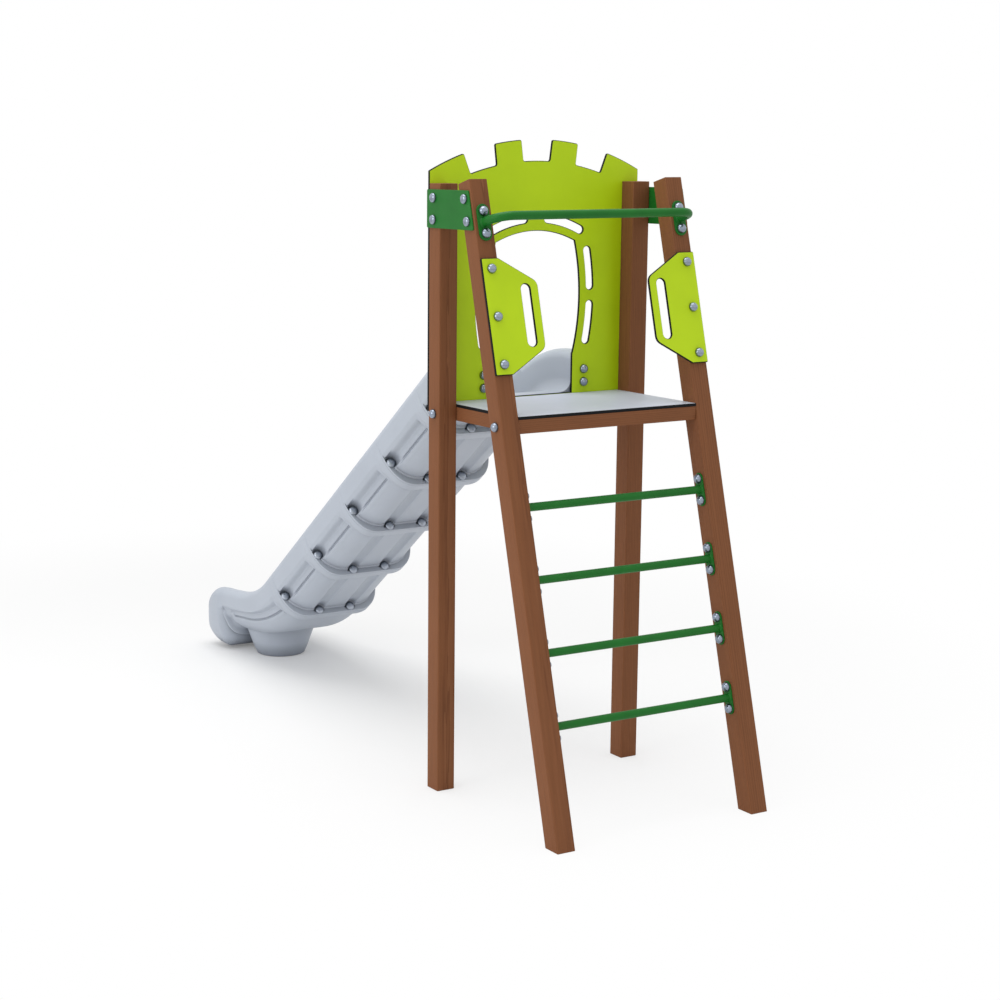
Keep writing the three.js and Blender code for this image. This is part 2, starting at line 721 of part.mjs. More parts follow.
function castlePanel() {
  const archY = sill + doorCrown - doorArchRadius;
  const sideX = doorWidestHalf - doorSideRadius;
  const sideY = sill + doorSideMiddle;
  const archRadius = doorArchRadius + archSlotOffset;
  const sideRadius = doorSideRadius + sideSlotOffset;
  const up = Math.PI / 2;
  const rightSlots = [
    arcSlot(0, archY, archRadius, up - archSlotEnd, up - archSlotStart),
    arcSlot(sideX, sideY, sideRadius, sideSlotStart, sideSlotEnd),
    arcSlot(sideX, sideY, sideRadius, -sideSlotEnd, -sideSlotStart),
  ];
  const leftSlots = rightSlots.map((slot) => slot.map((p) => new THREE.Vector2(-p.x, p.y)));
  const sheet = slab(panelOutline(), sheetThickness, [
    doorOutline(),
    ...rightSlots,
    ...leftSlots,
  ]);
  const placed = sheet.translate([0, panelFrontY, 0]);
  const holes = sides.flatMap(({ sign }) => [
    ...entryBoltRises.map((rise) =>
      boltHole([sign * entryBoltHalf, panelFrontY, sill + rise], [0, -1, 0], sheetThickness),
    ),
    ...panelBoltHeights.map((z) =>
      boltHole([sign * timberMiddle, panelBackY, z], [0, 1, 0], sheetThickness),
    ),
  ]);
  return piece("castle_panel", cut(placed, holes), materials.lime);
}

// The trough's closed outline in [x, height above the floor], from the underside round both rims
function troughOutline(size) {
  const rim = (size.half - size.innerHalf) / 2;
  const shoulder = size.top - rim;
  const lowJoin = lerp(size.bottom, shoulder, joinShare);
  const innerBreak = lerp(size.floor, shoulder, breakShare);
  const bezier = (a, b, c, steps) =>
    new THREE.QuadraticBezierCurve(
      new THREE.Vector2(...a),
      new THREE.Vector2(...b),
      new THREE.Vector2(...c),
    ).getPoints(steps);
  const right = [
    ...bezier(
      [size.flatHalf, size.bottom],
      [size.cornerHalf, size.bottom],
      [size.half, lowJoin],
      cornerSteps,
    ),
    ...arcPoints(size.half - rim, shoulder, rim, 0, Math.PI, rimSteps),
    ...bezier(
      [size.innerHalf, innerBreak],
      [size.floorCornerHalf, size.floor],
      [size.floorHalf, size.floor],
      floorSteps,
    ),
  ];
  const left = right.map((p) => new THREE.Vector2(-p.x, p.y)).reverse();
  return [...right, ...left];
}

const skin = {
  half: troughHalf,
  innerHalf: troughInnerHalf,
  top: troughTop,
  bottom: -floorThickness,
  flatHalf: skinFlatHalf,
  cornerHalf: skinCornerHalf,
  floor: 0,
  floorHalf: floorFlatHalf,
  floorCornerHalf,
};
const collar = {
  ...skin,
  bottom: -floorThickness - collarDepth,
  flatHalf: collarFlatHalf,
  cornerHalf: collarCornerHalf,
};
const runOutSkin = {
  ...skin,
  top: runOutTop,
  bottom: -runOutThickness,
  cornerHalf: runOutCornerHalf,
};

// Sizes part of the way from one outline to another
const blend = (from, to, share) =>
  Object.fromEntries(Object.keys(from).map((key) => [key, lerp(from[key], to[key], share)]));

// An outline stood on a station of the floor line
const ringOf = ({ y, z, tilt }, outline) =>
  outline.map(
    (p) => new THREE.Vector3(p.x, y + p.y * Math.sin(tilt), z + p.y * Math.cos(tilt)),
  );
const ring = (place, size) => ringOf(place, troughOutline(size));

const jointBolts = [
  [-sideBoltHalf, sideBoltHeight],
  [-lowerBoltHalf, collar.bottom + jointBoltEdge],
  [lowerBoltHalf, collar.bottom + jointBoltEdge],
  [sideBoltHalf, sideBoltHeight],
];

// The middle line of the channel that each joint bolt needs, as [x, height]
const channelLines = [
  [-sideChannelHalf, sideChannelHeight],
  [-lowerBoltHalf, skin.bottom - lowerChannelDrop],
  [lowerBoltHalf, skin.bottom - lowerChannelDrop],
  [sideChannelHalf, sideChannelHeight],
];

// In a section's own frame Y runs down the slope: cuts a channel in the skin above each joint bolt
// and sets the bolts' heads on the flange that ends at the given length.
function boltedEnd(body, from, length) {
  const faceY = length - flangeThickness;
  const channels = channelLines.map(([x, z]) =>
    rod([x, from, z], [x, faceY, z], channelRadius, tubeSides),
  );
  const head = bolt(0).rotate([90, 0, 0]);
  const heads = jointBolts.map(([x, z]) => head.translate([x, faceY + weldLap, z]));
  return join([cut(body, channels), ...heads]);
}

// A straight section: collar, taper, skin and the flange that bolts to the next collar
function slideSection() {
  const length = sectionPitch - touch;
  const taperEnd = collarLength + collarTaper;
  const at = (y) => station(y, 0, 0);
  const rings = [
    ring(at(0), collar),
    ring(at(collarLength), collar),
    ring(at(taperEnd), skin),
    ring(at(length - flangeThickness), skin),
    ring(at(length - flangeThickness), collar),
    ring(at(length), collar),
  ];
  return boltedEnd(loft(rings, ["x", "z"]), taperEnd + channelSetback, length);
}

// Entry section: collar against the panel, level mouth, crest, and the first joint's flange
function slideEntry() {
  const mouthStart = panelBackY + touch;
  const collarEnd = mouthStart + mouthCollarLength;
  const taperEnd = collarEnd + mouthTaper;
  const length = entryStraight - touch;
  const run = crestY - mouthStart + crestRadius * slopeAngle + entryStraight;
  const rimAt = (distance) => lerp(mouthTop, troughTop, Math.min(1, distance / run) ** 2);
  const level = (y, size) => ring(station(y, sill, 0), { ...size, top: rimAt(y - mouthStart) });
  const crest = Array.from({ length: bendSteps }, (_, k) => {
    const angle = (slopeAngle * (k + 1)) / bendSteps;
    const distance = crestY - mouthStart + crestRadius * angle;
    return ring(crestStation(angle), { ...skin, top: rimAt(distance) });
  });
  const rings = [
    level(mouthStart, collar),
    level(collarEnd, collar),
    level(taperEnd, skin),
    ...crest,
    ring(slopeStation(length - flangeThickness), skin),
    ring(slopeStation(length - flangeThickness), collar),
    ring(slopeStation(length), collar),
  ];
  const whole = loft(rings, ["x", "z"]);
  const toSlope = (shape) =>
    shape.rotate([(-slopeAngle * 180) / Math.PI, 0, 0]).translate([0, slopeStart.y, slopeStart.z]);
  const fromSlope = (shape) =>
    shape.translate([0, -slopeStart.y, -slopeStart.z]).rotate([(slopeAngle * 180) / Math.PI, 0, 0]);
  const ended = toSlope(boltedEnd(fromSlope(whole), channelSetback, length));
  const holes = sides.flatMap(({ sign }) =>
    entryBoltRises.map((rise) =>
      boltHole([sign * entryBoltHalf, panelFrontY, sill + rise], [0, -1, 0], sheetThickness),
    ),
  );
  return piece("slide_entry", cut(ended, holes), materials.plastic);
}

// How much of its full size a rounded edge still has at y, on a quarter ellipse that ends at the tip
function roundingAt(y, length) {
  const into = Math.max(0, y - (noseTipY - length)) / (length + overrun / 2);
  return Math.sqrt(Math.max(0, 1 - into * into));
}

// The trough's sizes at y in the nose: its back edge rolls out, then its edges draw together into the
// tip
function noseSize(y) {
  const base = runOutFloor(y);
  const sideShare = roundingAt(y, sideRoundLength);
  const underShare = roundingAt(y, underRoundLength);
  const topShare = roundingAt(y, rimFallLength);
  const floorShare = roundingAt(y, floorRoundLength);
  const left = Math.max(0, 1 - (y - noseBackY) / noseRoll);
  const rollShare = Math.sqrt(1 - left * left);
  const bottom = lerp(noseBackHeight, noseClearance, rollShare) - base;
  return {
    half: lerp(lipHalf, troughHalf + noseFlare * rollShare, sideShare),
    innerHalf: lerp(lipHalf, troughInnerHalf, sideShare),
    top: lerp(lipSideHeight - base, noseTop, topShare),
    bottom: lerp(lipHeight - base, bottom, underShare),
    flatHalf: lerp(noseBackFlatHalf, noseFlatHalf, rollShare),
    cornerHalf: noseCornerHalf,
    floor: lerp(lipHeight - base, 0, floorShare),
    floorHalf: lerp(noseFlatHalf, floorFlatHalf, floorShare),
    floorCornerHalf: lerp(lipHalf, floorCornerHalf, sideShare),
  };
}

// Exit section: collar, straight, bend, run-out, recess, rolled nose and foot
function slideExit() {
  const start = entryStraight + sectionCount * sectionPitch;
  const bend = Array.from({ length: bendSteps + 1 }, (_, k) => {
    const share = k / bendSteps;
    return ring(bendStation(lerp(slopeAngle, runOutAngle, share)), blend(skin, runOutSkin, share));
  });
  const upright = (y, size) => ring(station(y, runOutFloor(y), 0), size);
  const roll = rollShares.map((share) => noseBackY + noseRoll * share);
  const tip = noseAngleShares
    .map((share) => noseBackY + noseLength * Math.sin((share * Math.PI) / 2))
    .filter((y) => y >= noseBackY + noseRoll);
  const body = loft(
    [
      ring(slopeStation(start), collar),
      ring(slopeStation(start + collarLength), collar),
      ring(slopeStation(start + collarLength + collarTaper), skin),
      ...bend,
      upright(recessStart, runOutSkin),
      ...[...roll, ...tip].map((y) => upright(y, noseSize(y))),
    ],
    ["x", "z"],
  );
  return piece(
    "slide_exit",
    cut(join([body, exitFoot()]), [noseRecess(), ...exitChannels(start)]),
    materials.plastic,
  );
}

// The recess between the skin's lower half and the bead behind the nose. It draws the sides in and
// leaves the underside as it is.
function noseRecess() {
  const end = noseBackY - beadWidth;
  const corner = (y) => {
    const share = (y - recessStart) / recessLength;
    return troughOutline(blend(runOutSkin, noseSize(noseBackY), share)).slice(0, cornerSteps + 1);
  };
  const closed = (right) => [
    ...right,
    ...right.map((p) => new THREE.Vector2(-p.x, p.y)).reverse(),
  ];
  const outer = (y) =>
    closed(corner(y).map((p) => new THREE.Vector2(p.x + overrun, p.y - overrun)));
  const inner = (y) => {
    const low = corner(y).map((p) => new THREE.Vector2(p.x * recessShare, p.y - touch));
    const above = new THREE.Vector2(low.at(-1).x, low.at(-1).y + overrun);
    return closed([...low, above]);
  };
  const fill = (outline, from, to) =>
    loft(
      [from, to].map((y) => ringOf(station(y, runOutFloor(y), 0), outline(y))),
      ["x", "z"],
    );
  const whole = fill(outer, recessStart, end);
  return whole.subtract(fill(inner, recessStart - overrun, end + overrun));
}

// The side channels that go on along the exit's bend and run-out, into the recess
function exitChannels(start) {
  const from = start + collarLength + collarTaper + channelSetback;
  const bend = Array.from({ length: bendSteps + 1 }, (_, k) => k / bendSteps);
  const end = noseBackY - beadWidth;
  return sides.map(({ sign }) => {
    const circleAt = (place, share) => {
      const height = lerp(sideChannelHeight, runOutChannelHeight, share);
      const x = sign * lerp(sideChannelHalf, runOutChannelHalf, share);
      const radius = lerp(channelRadius, runOutChannelRadius, share);
      const points = arcPoints(x, height, radius, 0, 2 * Math.PI, tubeSides);
      return ringOf(place, points.slice(1));
    };
    return loft(
      [
        circleAt(slopeStation(from), 0),
        ...bend.map((share) => circleAt(bendStation(lerp(slopeAngle, runOutAngle, share)), share)),
        circleAt(station(end, runOutFloor(end), 0), 1),
      ],
      ["x", "z"],
    );
  });
}

// A conical foot that widens up into the run-out's underside and stands on the ground
function exitFoot() {
  const circleAt = (radius, heightAt) =>
    arcPoints(0, footY, radius, 0, 2 * Math.PI, 2 * tubeSides)
      .slice(1)
      .map((p) => new THREE.Vector3(p.x, p.y, heightAt(p.y)));
  const inside = (y) => runOutFloor(y) - runOutThickness * footSeatShare;
  const topRadius = footRadius + inside(footY) * Math.tan(footDraft);
  return loft(
    [
      circleAt(footRadius - footEdge, () => 0),
      circleAt(footRadius, () => footEdge),
      circleAt(topRadius, inside),
    ],
    ["x", "y"],
  );
}

// The ladder's leaning frame: Z runs up the stiles' front faces, Y square to them, to the back
function ladder() {
  const frame = new THREE.Group();
  frame.position.y = -stileFootReach;
  frame.rotation.x = -stileLean;
  const barFace = -touch - barFlangeThickness;
  const handFace = -touch - sheetThickness;
  const number = (k) => String(k + 1);
  const barBolts = sides.flatMap(({ side, sign }) =>
    barBoltRuns.map((run, k) => [
      "bar_bolt_" + side + "_" + number(k),
      sign * timberMiddle,
      barFace,
      run,
    ]),
  );
  const handBolts = sides.flatMap(({ side, sign }) =>
    handBoltRuns.map((run, k) => [
      "hand_bolt_" + side + "_" + number(k),
      sign * timberMiddle,
      handFace,
      run,
    ]),
  );
  frame.add(
    ...stiles(),
    ...rungs(),
    grabBar(),
    ...handPanels(),
    ...boltPieces(barBolts, [0, -1, 0], barFlangeThickness),
    ...boltPieces(handBolts, [0, -1, 0], sheetThickness),
  );
  return frame;
}

// Bolts that run along X through the posts and stiles
function crossBolts() {
  return sides.flatMap(({ side, sign }) => {
    const plateX = sign * (frameHalf + touch + plateThickness);
    const plateBolts = plateBoltHeights.flatMap((z, row) =>
      [stileMiddleY(z), timberWidth / 2].map((y, k) => [
        "plate_bolt_" + side + "_" + (2 * row + k + 1),
        plateX,
        y,
        z,
      ]),
    );
    const frameBolts = [stileMiddleY(frameBoltHeight), timberWidth / 2].map((y, k) => [
      "frame_bolt_" + side + "_" + (k + 1),
      sign * frameHalf,
      y,
      frameBoltHeight,
    ]);
    return [
      ...boltPieces(plateBolts, [sign, 0, 0], plateThickness),
      ...boltPieces(frameBolts, [sign, 0, 0], timberWidth),
    ];
  });
}

// Bolts that run along Y: through the panel into the slide, and from behind into the posts
function panelBolts() {
  return sides.flatMap(({ side, sign }) => {
    const entry = entryBoltRises.map((rise, k) => [
      "entry_bolt_" + side + "_" + (k + 1),
      sign * entryBoltHalf,
      panelFrontY,
      sill + rise,
    ]);
    const back = panelBoltHeights.map((z, k) => [
      "panel_bolt_" + side + "_" + (k + 1),
      sign * timberMiddle,
      panelBackY,
      z,
    ]);
    return [
      ...boltPieces(entry, [0, -1, 0], sheetThickness),
      ...boltPieces(back, [0, 1, 0], sheetThickness),
    ];
  });
}

// The slide's straight sections, each in a group that lies on the slope
function slideSections() {
  const made = slideSection();
  return Array.from({ length: sectionCount }, (_, k) => {
    const place = jointStation(k);
    const frame = new THREE.Group();
    frame.position.set(0, place.y, place.z);
    frame.rotation.x = -slopeAngle;
    frame.add(piece("slide_section_" + (k + 1), made, materials.plastic));
    return frame;
  });
}

const playground = new THREE.Group();
playground.add(
  ...posts(),
  ladder(),
  ...platform(),
  ...topPlates(),
  castlePanel(),
  slideEntry(),
  ...slideSections(),
  slideExit(),
  ...crossBolts(),
  ...panelBolts(),
);

// The origin moves to the middle of the footprint, on the ground.
playground.updateMatrixWorld(true);
const bounds = new THREE.Box3().setFromObject(playground, true);
playground.position.y = -(bounds.min.y + bounds.max.y) / 2;

export default playground;
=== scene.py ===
from math import acos, asin, atan2, copysign, cos, pi, radians, sin, sqrt, tan

import bmesh
import bpy
from mathutils import Matrix, Vector
from mathutils.geometry import tessellate_polygon


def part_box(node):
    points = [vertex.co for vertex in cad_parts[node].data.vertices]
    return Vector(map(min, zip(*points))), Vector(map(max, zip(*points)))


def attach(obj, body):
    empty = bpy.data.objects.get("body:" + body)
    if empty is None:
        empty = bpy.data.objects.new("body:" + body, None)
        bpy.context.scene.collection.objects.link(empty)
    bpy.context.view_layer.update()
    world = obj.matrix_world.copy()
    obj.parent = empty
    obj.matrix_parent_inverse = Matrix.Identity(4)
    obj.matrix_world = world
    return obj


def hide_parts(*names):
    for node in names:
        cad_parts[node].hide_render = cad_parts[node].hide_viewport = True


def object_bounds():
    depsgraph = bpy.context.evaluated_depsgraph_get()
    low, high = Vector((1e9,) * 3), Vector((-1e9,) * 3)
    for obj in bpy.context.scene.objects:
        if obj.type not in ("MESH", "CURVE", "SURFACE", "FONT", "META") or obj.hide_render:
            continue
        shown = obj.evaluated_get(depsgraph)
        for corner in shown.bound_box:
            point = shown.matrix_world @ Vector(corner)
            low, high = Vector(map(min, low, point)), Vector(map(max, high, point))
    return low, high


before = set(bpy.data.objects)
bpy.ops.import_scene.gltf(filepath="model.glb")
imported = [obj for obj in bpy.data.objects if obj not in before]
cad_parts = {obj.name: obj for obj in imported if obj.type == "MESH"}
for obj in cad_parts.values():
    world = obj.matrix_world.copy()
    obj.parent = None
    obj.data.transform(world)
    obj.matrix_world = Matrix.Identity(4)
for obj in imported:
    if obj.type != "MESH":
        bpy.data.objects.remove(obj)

cad_low, cad_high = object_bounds()

# Lengths are in millimetres, with Y counted from the posts' front faces and Z from the ground.
# FRONT is where those faces are in the row frame, in metres.
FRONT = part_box("post_left")[0].y
MM = 0.001
TOUCH = 0.3  # gap between pieces that touch
SIDES = (("left", -1), ("right", 1))

# Timber frame
TIMBER = 90.0
TIMBER_EDGE = 4.5
TIMBER_BEVEL = 2.5
FRAME_HALF = 557.5
POST_HEIGHT = 2716.0
LEAN = radians(14.9)
STILE_REACH = 959.0
STILE_TOP = 2739.0
BAY_HALF = FRAME_HALF - TIMBER
TIMBER_MID = FRAME_HALF - TIMBER / 2

# Platform
PLATFORM = 1760.0
SHEET = 13.0
BEAM = 60.0
FRAME_BOLT_Z = PLATFORM - 42.0
BEAM_TOP = PLATFORM - SHEET - TOUCH

# Panel with battlements and a doorway. The doorway's heights are counted from its sill.
CROWN = 2904.0
CROWN_RADIUS = 1225.0
NOTCH_ANGLE = radians(14.3)
NOTCH_DEPTH = 94.0
NOTCH_TOP = 82.5  # half widths at the crown and at the notch's floor
NOTCH_FLOOR = 70.0
PANEL_Y = TIMBER + TOUCH
PANEL_BACK = PANEL_Y + SHEET
PANEL_BOTTOM = PLATFORM - 36.0
CORNER = 6.0
SILL = PLATFORM + 4.0
DOOR_SILL_HALF = 206.0
DOOR_UPRIGHT = 178.0
DOOR_HALF = 242.0
DOOR_SIDE_R = 1016.0
DOOR_WIDEST = 441.0
DOOR_BOW = (184.0, 690.0)  # where its sides bow out
DOOR_HEIGHT = 737.0
DOOR_ARCH_R = 488.0

# Hand panels and top plates
HAND_MIDDLE = PLATFORM + 410.5
HAND_RISE = 248.0
HAND_INNER = FRAME_HALF - 266.0
HAND_TURN = FRAME_HALF - 85.0
HAND_CUT = 106.0
HAND_BOLTS = (-203.0, 0.0, 203.0)
PLATE_TOP = POST_HEIGHT - 25.0
PLATE_BOTTOM = PLATE_TOP - 165.0
PLATE_BACK = 100.0
PLATE_BOLTS = (PLATE_TOP - 36.0, PLATE_BOTTOM + 36.0)
PLATE_THICK = 6.0
PANEL_BOLTS = [PANEL_BOTTOM + 70.0]
PANEL_BOLTS += [(z + PLATE_BOTTOM) / 2 for z in (PANEL_BOTTOM, PLATE_TOP)]

# Rungs and grab bar: their tubes, and flanges with rounded ends round two bolts
RUNGS = 4
RUNG_LOW = 488.0
RUNG_PITCH = 298.0
RUNG_R = 18.0
RUNG_BOLT = 48.0
RUNG_FLANGE_R = 26.0
RUNG_FLANGE = 6.0
BAR_Z = PLATFORM + 799.0
BAR_STAND = 122.0
BAR_BEND = 80.0
BAR_R = 19.0
BAR_BOLT = 47.5
BAR_FLANGE_R = 31.0
BAR_FLANGE = 7.0

# Slide
SLOPE = radians(37.6)
RUN_OUT = radians(6.0)
SECTIONS = 4
CREST_Y = PANEL_BACK + 59.0
CREST_R = 400.0
ENTRY_STRAIGHT = 135.0
EXIT_STRAIGHT = 99.0
BEND_R = 850.0
RUN_OUT_Z = 182.0
NOSE_BACK_REACH = 261.0
NOSE_LENGTH = 232.0
NOSE_ROLL = 50.0
RECESS = 88.0
SIN, COS = sin(SLOPE), cos(SLOPE)
DROP = SILL - CREST_R * (1 - COS) - BEND_R * (cos(RUN_OUT) - COS) - RUN_OUT_Z
PITCH = (DROP / SIN - ENTRY_STRAIGHT - EXIT_STRAIGHT) / SECTIONS
FLANGE = 12.0
COLLAR = 45.0
TAPER = 85.0
FOOT_R = 140.0
FOOT_DRAFT = tan(radians(19.8))
FOOT_EDGE = 9.0
FOOT_FILLET = 18.0
FOOT_SIDES = 144

# Bolts: places of the slide's joint bolts in its outline, and the sizes of the caps
SIDE_BOLT = (269.0, 59.0)
LOW_BOLT = (95.0, -45.0)
ENTRY_BOLT_X = 272.0
ENTRY_BOLT_RISES = (45.0, 104.0)
BOLT_H = 15.0  # the low caps on the top plates and the slide
JOINT_CAP_R = 23.5
JOINT_SEAT_R = 14.0
CAP_R = 21.0  # the rounder caps on the timbers, panels and rungs
CAP_H = 21.4


def lerp(a, b, t):
    return a + (b - a) * t


def smooth(t):
    t = min(1.0, max(0.0, t))
    return t * t * (3 - 2 * t)


def srgb(r, g, b):
    def lin(c):
        c /= 255.0
        return c / 12.92 if c <= 0.04045 else ((c + 0.055) / 1.055) ** 2.4

    return (lin(r), lin(g), lin(b), 1.0)


def grey(value):
    return (value, value, value, 1)


class Nodes:
    """A node tree, with a short call that adds a node and fills its inputs."""

    def __init__(self, tree):
        self.tree = tree

    def fill(self, sockets, values):
        """Joins an output to its socket, or sets the socket to a plain value."""
        for socket, value in zip(sockets, values):
            if hasattr(value, "is_linked"):
                self.tree.links.new(value, socket)
            else:
                socket.default_value = value

    def add(self, kind, *values, **settings):
        """The values fill the first inputs. Settings that start with in_ name an input."""
        node = self.tree.nodes.new(kind)
        self.fill(node.inputs, values)
        for key, value in settings.items():
            if key.startswith("in_"):
                self.fill([node.inputs[key[3:].replace("_", " ")]], [value])
            else:
                setattr(node, key, value)
        return node

    def chosen(self, factor, first, second, kind):
        """The tree's output: the first shader, and the second one where the factor is 1."""
        shaders = (first.outputs[0], second.outputs[0])
        mix = self.add("ShaderNodeMixShader", factor.outputs[0], *shaders)
        self.add(kind, in_Surface=mix.outputs[0])


class Coat(Nodes):
    """A material that shades one principled surface."""

    def __init__(self, name):
        self.mat = bpy.data.materials.new(name)
        self.mat.use_nodes = True
        super().__init__(self.mat.node_tree)
        self.shader = self.tree.nodes["Principled BSDF"]
        self.coords = self.add("ShaderNodeTexCoord").outputs["Object"]

    def noise(self, vector, scale, detail=3.0, roughness=0.55):
        settings = dict(in_Scale=scale, in_Detail=detail, in_Roughness=roughness)
        return self.add("ShaderNodeTexNoise", in_Vector=vector, **settings).outputs["Fac"]

    def cells(self, **settings):
        node = self.add("ShaderNodeTexVoronoi", in_Vector=self.coords, **settings)
        return node.outputs["Distance"]

    def crease(self, distance):
        """How open the surface is around each point, for painted shade that darkens its corners and
        creases.
        """
        return self.add("ShaderNodeAmbientOcclusion", samples=6, in_Distance=distance).outputs["AO"]

    def ramp(self, value, stops):
        node = self.add("ShaderNodeValToRGB", value)
        elements = node.color_ramp.elements
        while len(elements) < len(stops):
            elements.new(0.5)
        for element, (place, colour) in zip(elements, stops):
            element.position = place
            element.color = colour
        return node.outputs["Color"]

    def tinted(self, base, factor, value, stops):
        """The base colour times a ramp over a value."""
        node = self.add("ShaderNodeMix", factor, data_type="RGBA", blend_type="MULTIPLY")
        self.fill(node.inputs[6:8], (base, self.ramp(value, stops)))
        return node.outputs[2]

    def bump(self, heights):
        """Small heights laid over each other, each with a strength and a distance."""
        normal = {}
        for height, strength, distance in heights:
            values = dict(in_Height=height, in_Strength=strength, in_Distance=distance)
            node = self.add("ShaderNodeBump", **values, **normal)
            normal = {"in_Normal": node.outputs[0]}
        self.fill([self.shader.inputs["Normal"]], normal.values())

    def spread(self, value, low, high):
        return self.add("ShaderNodeMapRange", value, in_To_Min=low, in_To_Max=high).outputs[0]

    def finish(self, colour, roughness, **more):
        for key, value in dict(more, Base_Color=colour, Roughness=roughness).items():
            self.fill([self.shader.inputs[key.replace("_", " ")]], [value])
        return self.mat


def timber_material(name, turn, seed):
    """Stained softwood. turn brings the timber's length onto the texture's Z."""
    m = Coat(name)
    place = m.add("ShaderNodeMapping", m.coords, seed, turn).outputs[0]
    along = m.add("ShaderNodeMapping", place, in_Scale=(1.0, 1.0, 0.045)).outputs[0]
    wave = dict(wave_type="RINGS", rings_direction="Z", wave_profile="SAW", in_Scale=46.0)
    wave.update(in_Distortion=5.0, in_Detail=2.5, in_Detail_Scale=1.2)
    rings = m.add("ShaderNodeTexWave", along, **wave).outputs["Fac"]
    pores = m.noise(along, 900.0, 4.0, 0.65)
    streaks = m.noise(along, 95.0, 3.0, 0.6)
    stain = m.noise(place, 2.2, 2.0, 0.5)
    stops = [(0.0, srgb(134, 86, 54)), (0.75, srgb(127, 79, 48)), (1.0, srgb(112, 68, 40))]
    base = m.ramp(rings, stops)
    base = m.tinted(base, 0.55, pores, [(0.3, grey(0.86)), (0.6, grey(1.05))])
    base = m.tinted(base, 0.8, streaks, [(0.25, (0.9, 0.9, 0.91, 1)), (0.7, (1.06, 1.05, 1.04, 1))])
    base = m.tinted(base, 1.0, stain, [(0.3, grey(0.95)), (0.7, grey(1.03))])
    m.bump([(rings, 0.12, 0.0006), (pores, 0.25, 0.0004)])
    return m.finish(base, m.spread(pores, 0.55, 0.72), Specular_IOR_Level=0.22)


def sheet_material(name, colour, shade, dimple):
    """Laminate face: a fine leathery texture and hardly any variation in colour."""
    m = Coat(name)
    grain = m.noise(m.coords, 900.0, 3.0, 0.6)
    base = m.ramp(m.noise(m.coords, 5.0, 2.0), [(0.3, shade), (0.7, colour)])
    base = m.tinted(base, 0.6, grain, [(0.35, grey(0.95)), (0.65, grey(1.02))])
    heights = [(grain, 0.18, 0.0003)]
    if dimple:
        heights.append((m.cells(in_Scale=150.0, in_Randomness=0.15), 0.35, 0.0006))
    m.bump(heights)
    return m.finish(base, m.spread(grain, 0.42, 0.54), Specular_IOR_Level=0.3)


def core_material():
    m = Coat("laminate_core")
    fibre = m.noise(m.coords, 700.0, 4.0, 0.7)
    base = m.ramp(fibre, [(0.3, srgb(9, 10, 12)), (0.7, srgb(18, 20, 24))])
    m.bump([(fibre, 0.3, 0.0003)])
    return m.finish(base, 0.6, Specular_IOR_Level=0.15)


def powder_material():
    m = Coat("green_powder_coat")
    peel = m.noise(m.coords, 420.0, 2.0, 0.4)
    base = m.ramp(m.noise(m.coords, 9.0), [(0.3, srgb(20, 102, 31)), (0.7, srgb(26, 111, 36))])
    m.bump([(peel, 0.16, 0.0005)])
    return m.finish(base, m.spread(peel, 0.38, 0.48), Specular_IOR_Level=0.22)


def plastic_material():
    m = Coat("moulded_plastic")
    speck = m.noise(m.coords, 1400.0, 2.0, 0.6)
    skin = m.noise(m.coords, 600.0, 3.0, 0.6)
    base = m.ramp(m.noise(m.coords, 3.0), [(0.3, srgb(176, 183, 194)), (0.7, srgb(181, 188, 199))])
    base = m.tinted(base, 0.6, speck, [(0.32, (0.95, 0.955, 0.96, 1)), (0.6, grey(1.02))])
    # Painted shade: the colour darkens where the surface is closed in, in the channels, the crease
    # behind the nose and round the bolts.
    base = m.tinted(base, 0.9, m.crease(0.08), [(0.0, (0.2, 0.21, 0.24, 1)), (0.97, grey(1))])
    m.bump([(skin, 0.12, 0.0004)])
    return m.finish(base, m.spread(skin, 0.4, 0.5))


def steel_material(name, light, dark, metallic, smoothest):
    m = Coat(name)
    scratch = m.noise(m.coords, 1500.0, 3.0, 0.7)
    base = m.ramp(m.cells(in_Scale=260.0), [(0.0, light), (1.0, dark)])
    # Painted shade: darker round the caps' rims and wherever the surface is closed in.
    base = m.tinted(base, 0.95, m.crease(0.03), [(0.4, (0.22, 0.25, 0.28, 1)), (0.95, grey(1))])
    m.bump([(scratch, 0.08, 0.0002)])
    return m.finish(base, m.spread(scratch, smoothest, smoothest + 0.12), Metallic=metallic)


# How each timber material is turned, and where it is taken from the wood
TIMBERS = {
    "timber_up": ((0.0, 0.0, 0.0), (0.61, 0.13, 0.0)),
    "timber_stile": ((LEAN, 0.0, 0.0), (0.58, 0.31, 0.4)),
    "timber_x": ((0.0, pi / 2, 0.0), (0.06, 0.21, 0.0)),
    "timber_y": ((pi / 2, 0.0, 0.0), (0.49, 0.07, 0.0)),
}
MAT = {name: timber_material(name, *place) for name, place in TIMBERS.items()}
MAT.update(
    lime=sheet_material("lime_laminate", srgb(193, 225, 12), srgb(187, 219, 10), False),
    deck=sheet_material("deck_laminate", srgb(196, 201, 215), srgb(190, 196, 210), True),
    core=core_material(),
    green=powder_material(),
    plastic=plastic_material(),
    steel=steel_material("zinc_steel", srgb(160, 170, 184), srgb(136, 146, 162), 0.85, 0.2),
    cap=steel_material("dull_steel", srgb(188, 195, 206), srgb(160, 168, 182), 0.6, 0.28),
)
SLOTS = dict.fromkeys(TIMBERS, "timber")
SLOTS.update(lime="lime_panel", deck="deck_panel", green="green_steel", plastic="slide_plastic")
SLOTS.update(steel="bolt_steel", cap="bolt_steel")

# From the stiles' own frame, where Z runs up their front faces, to the frame of the lengths above
STILE = Matrix.Translation((0, -STILE_REACH, 0)) @ Matrix.Rotation(-LEAN, 4, "X")
LEVEL = Matrix.Identity(4)


def add_object(name, data):
    obj = bpy.data.objects.new(name, data)
    bpy.context.scene.collection.objects.link(obj)
    return obj


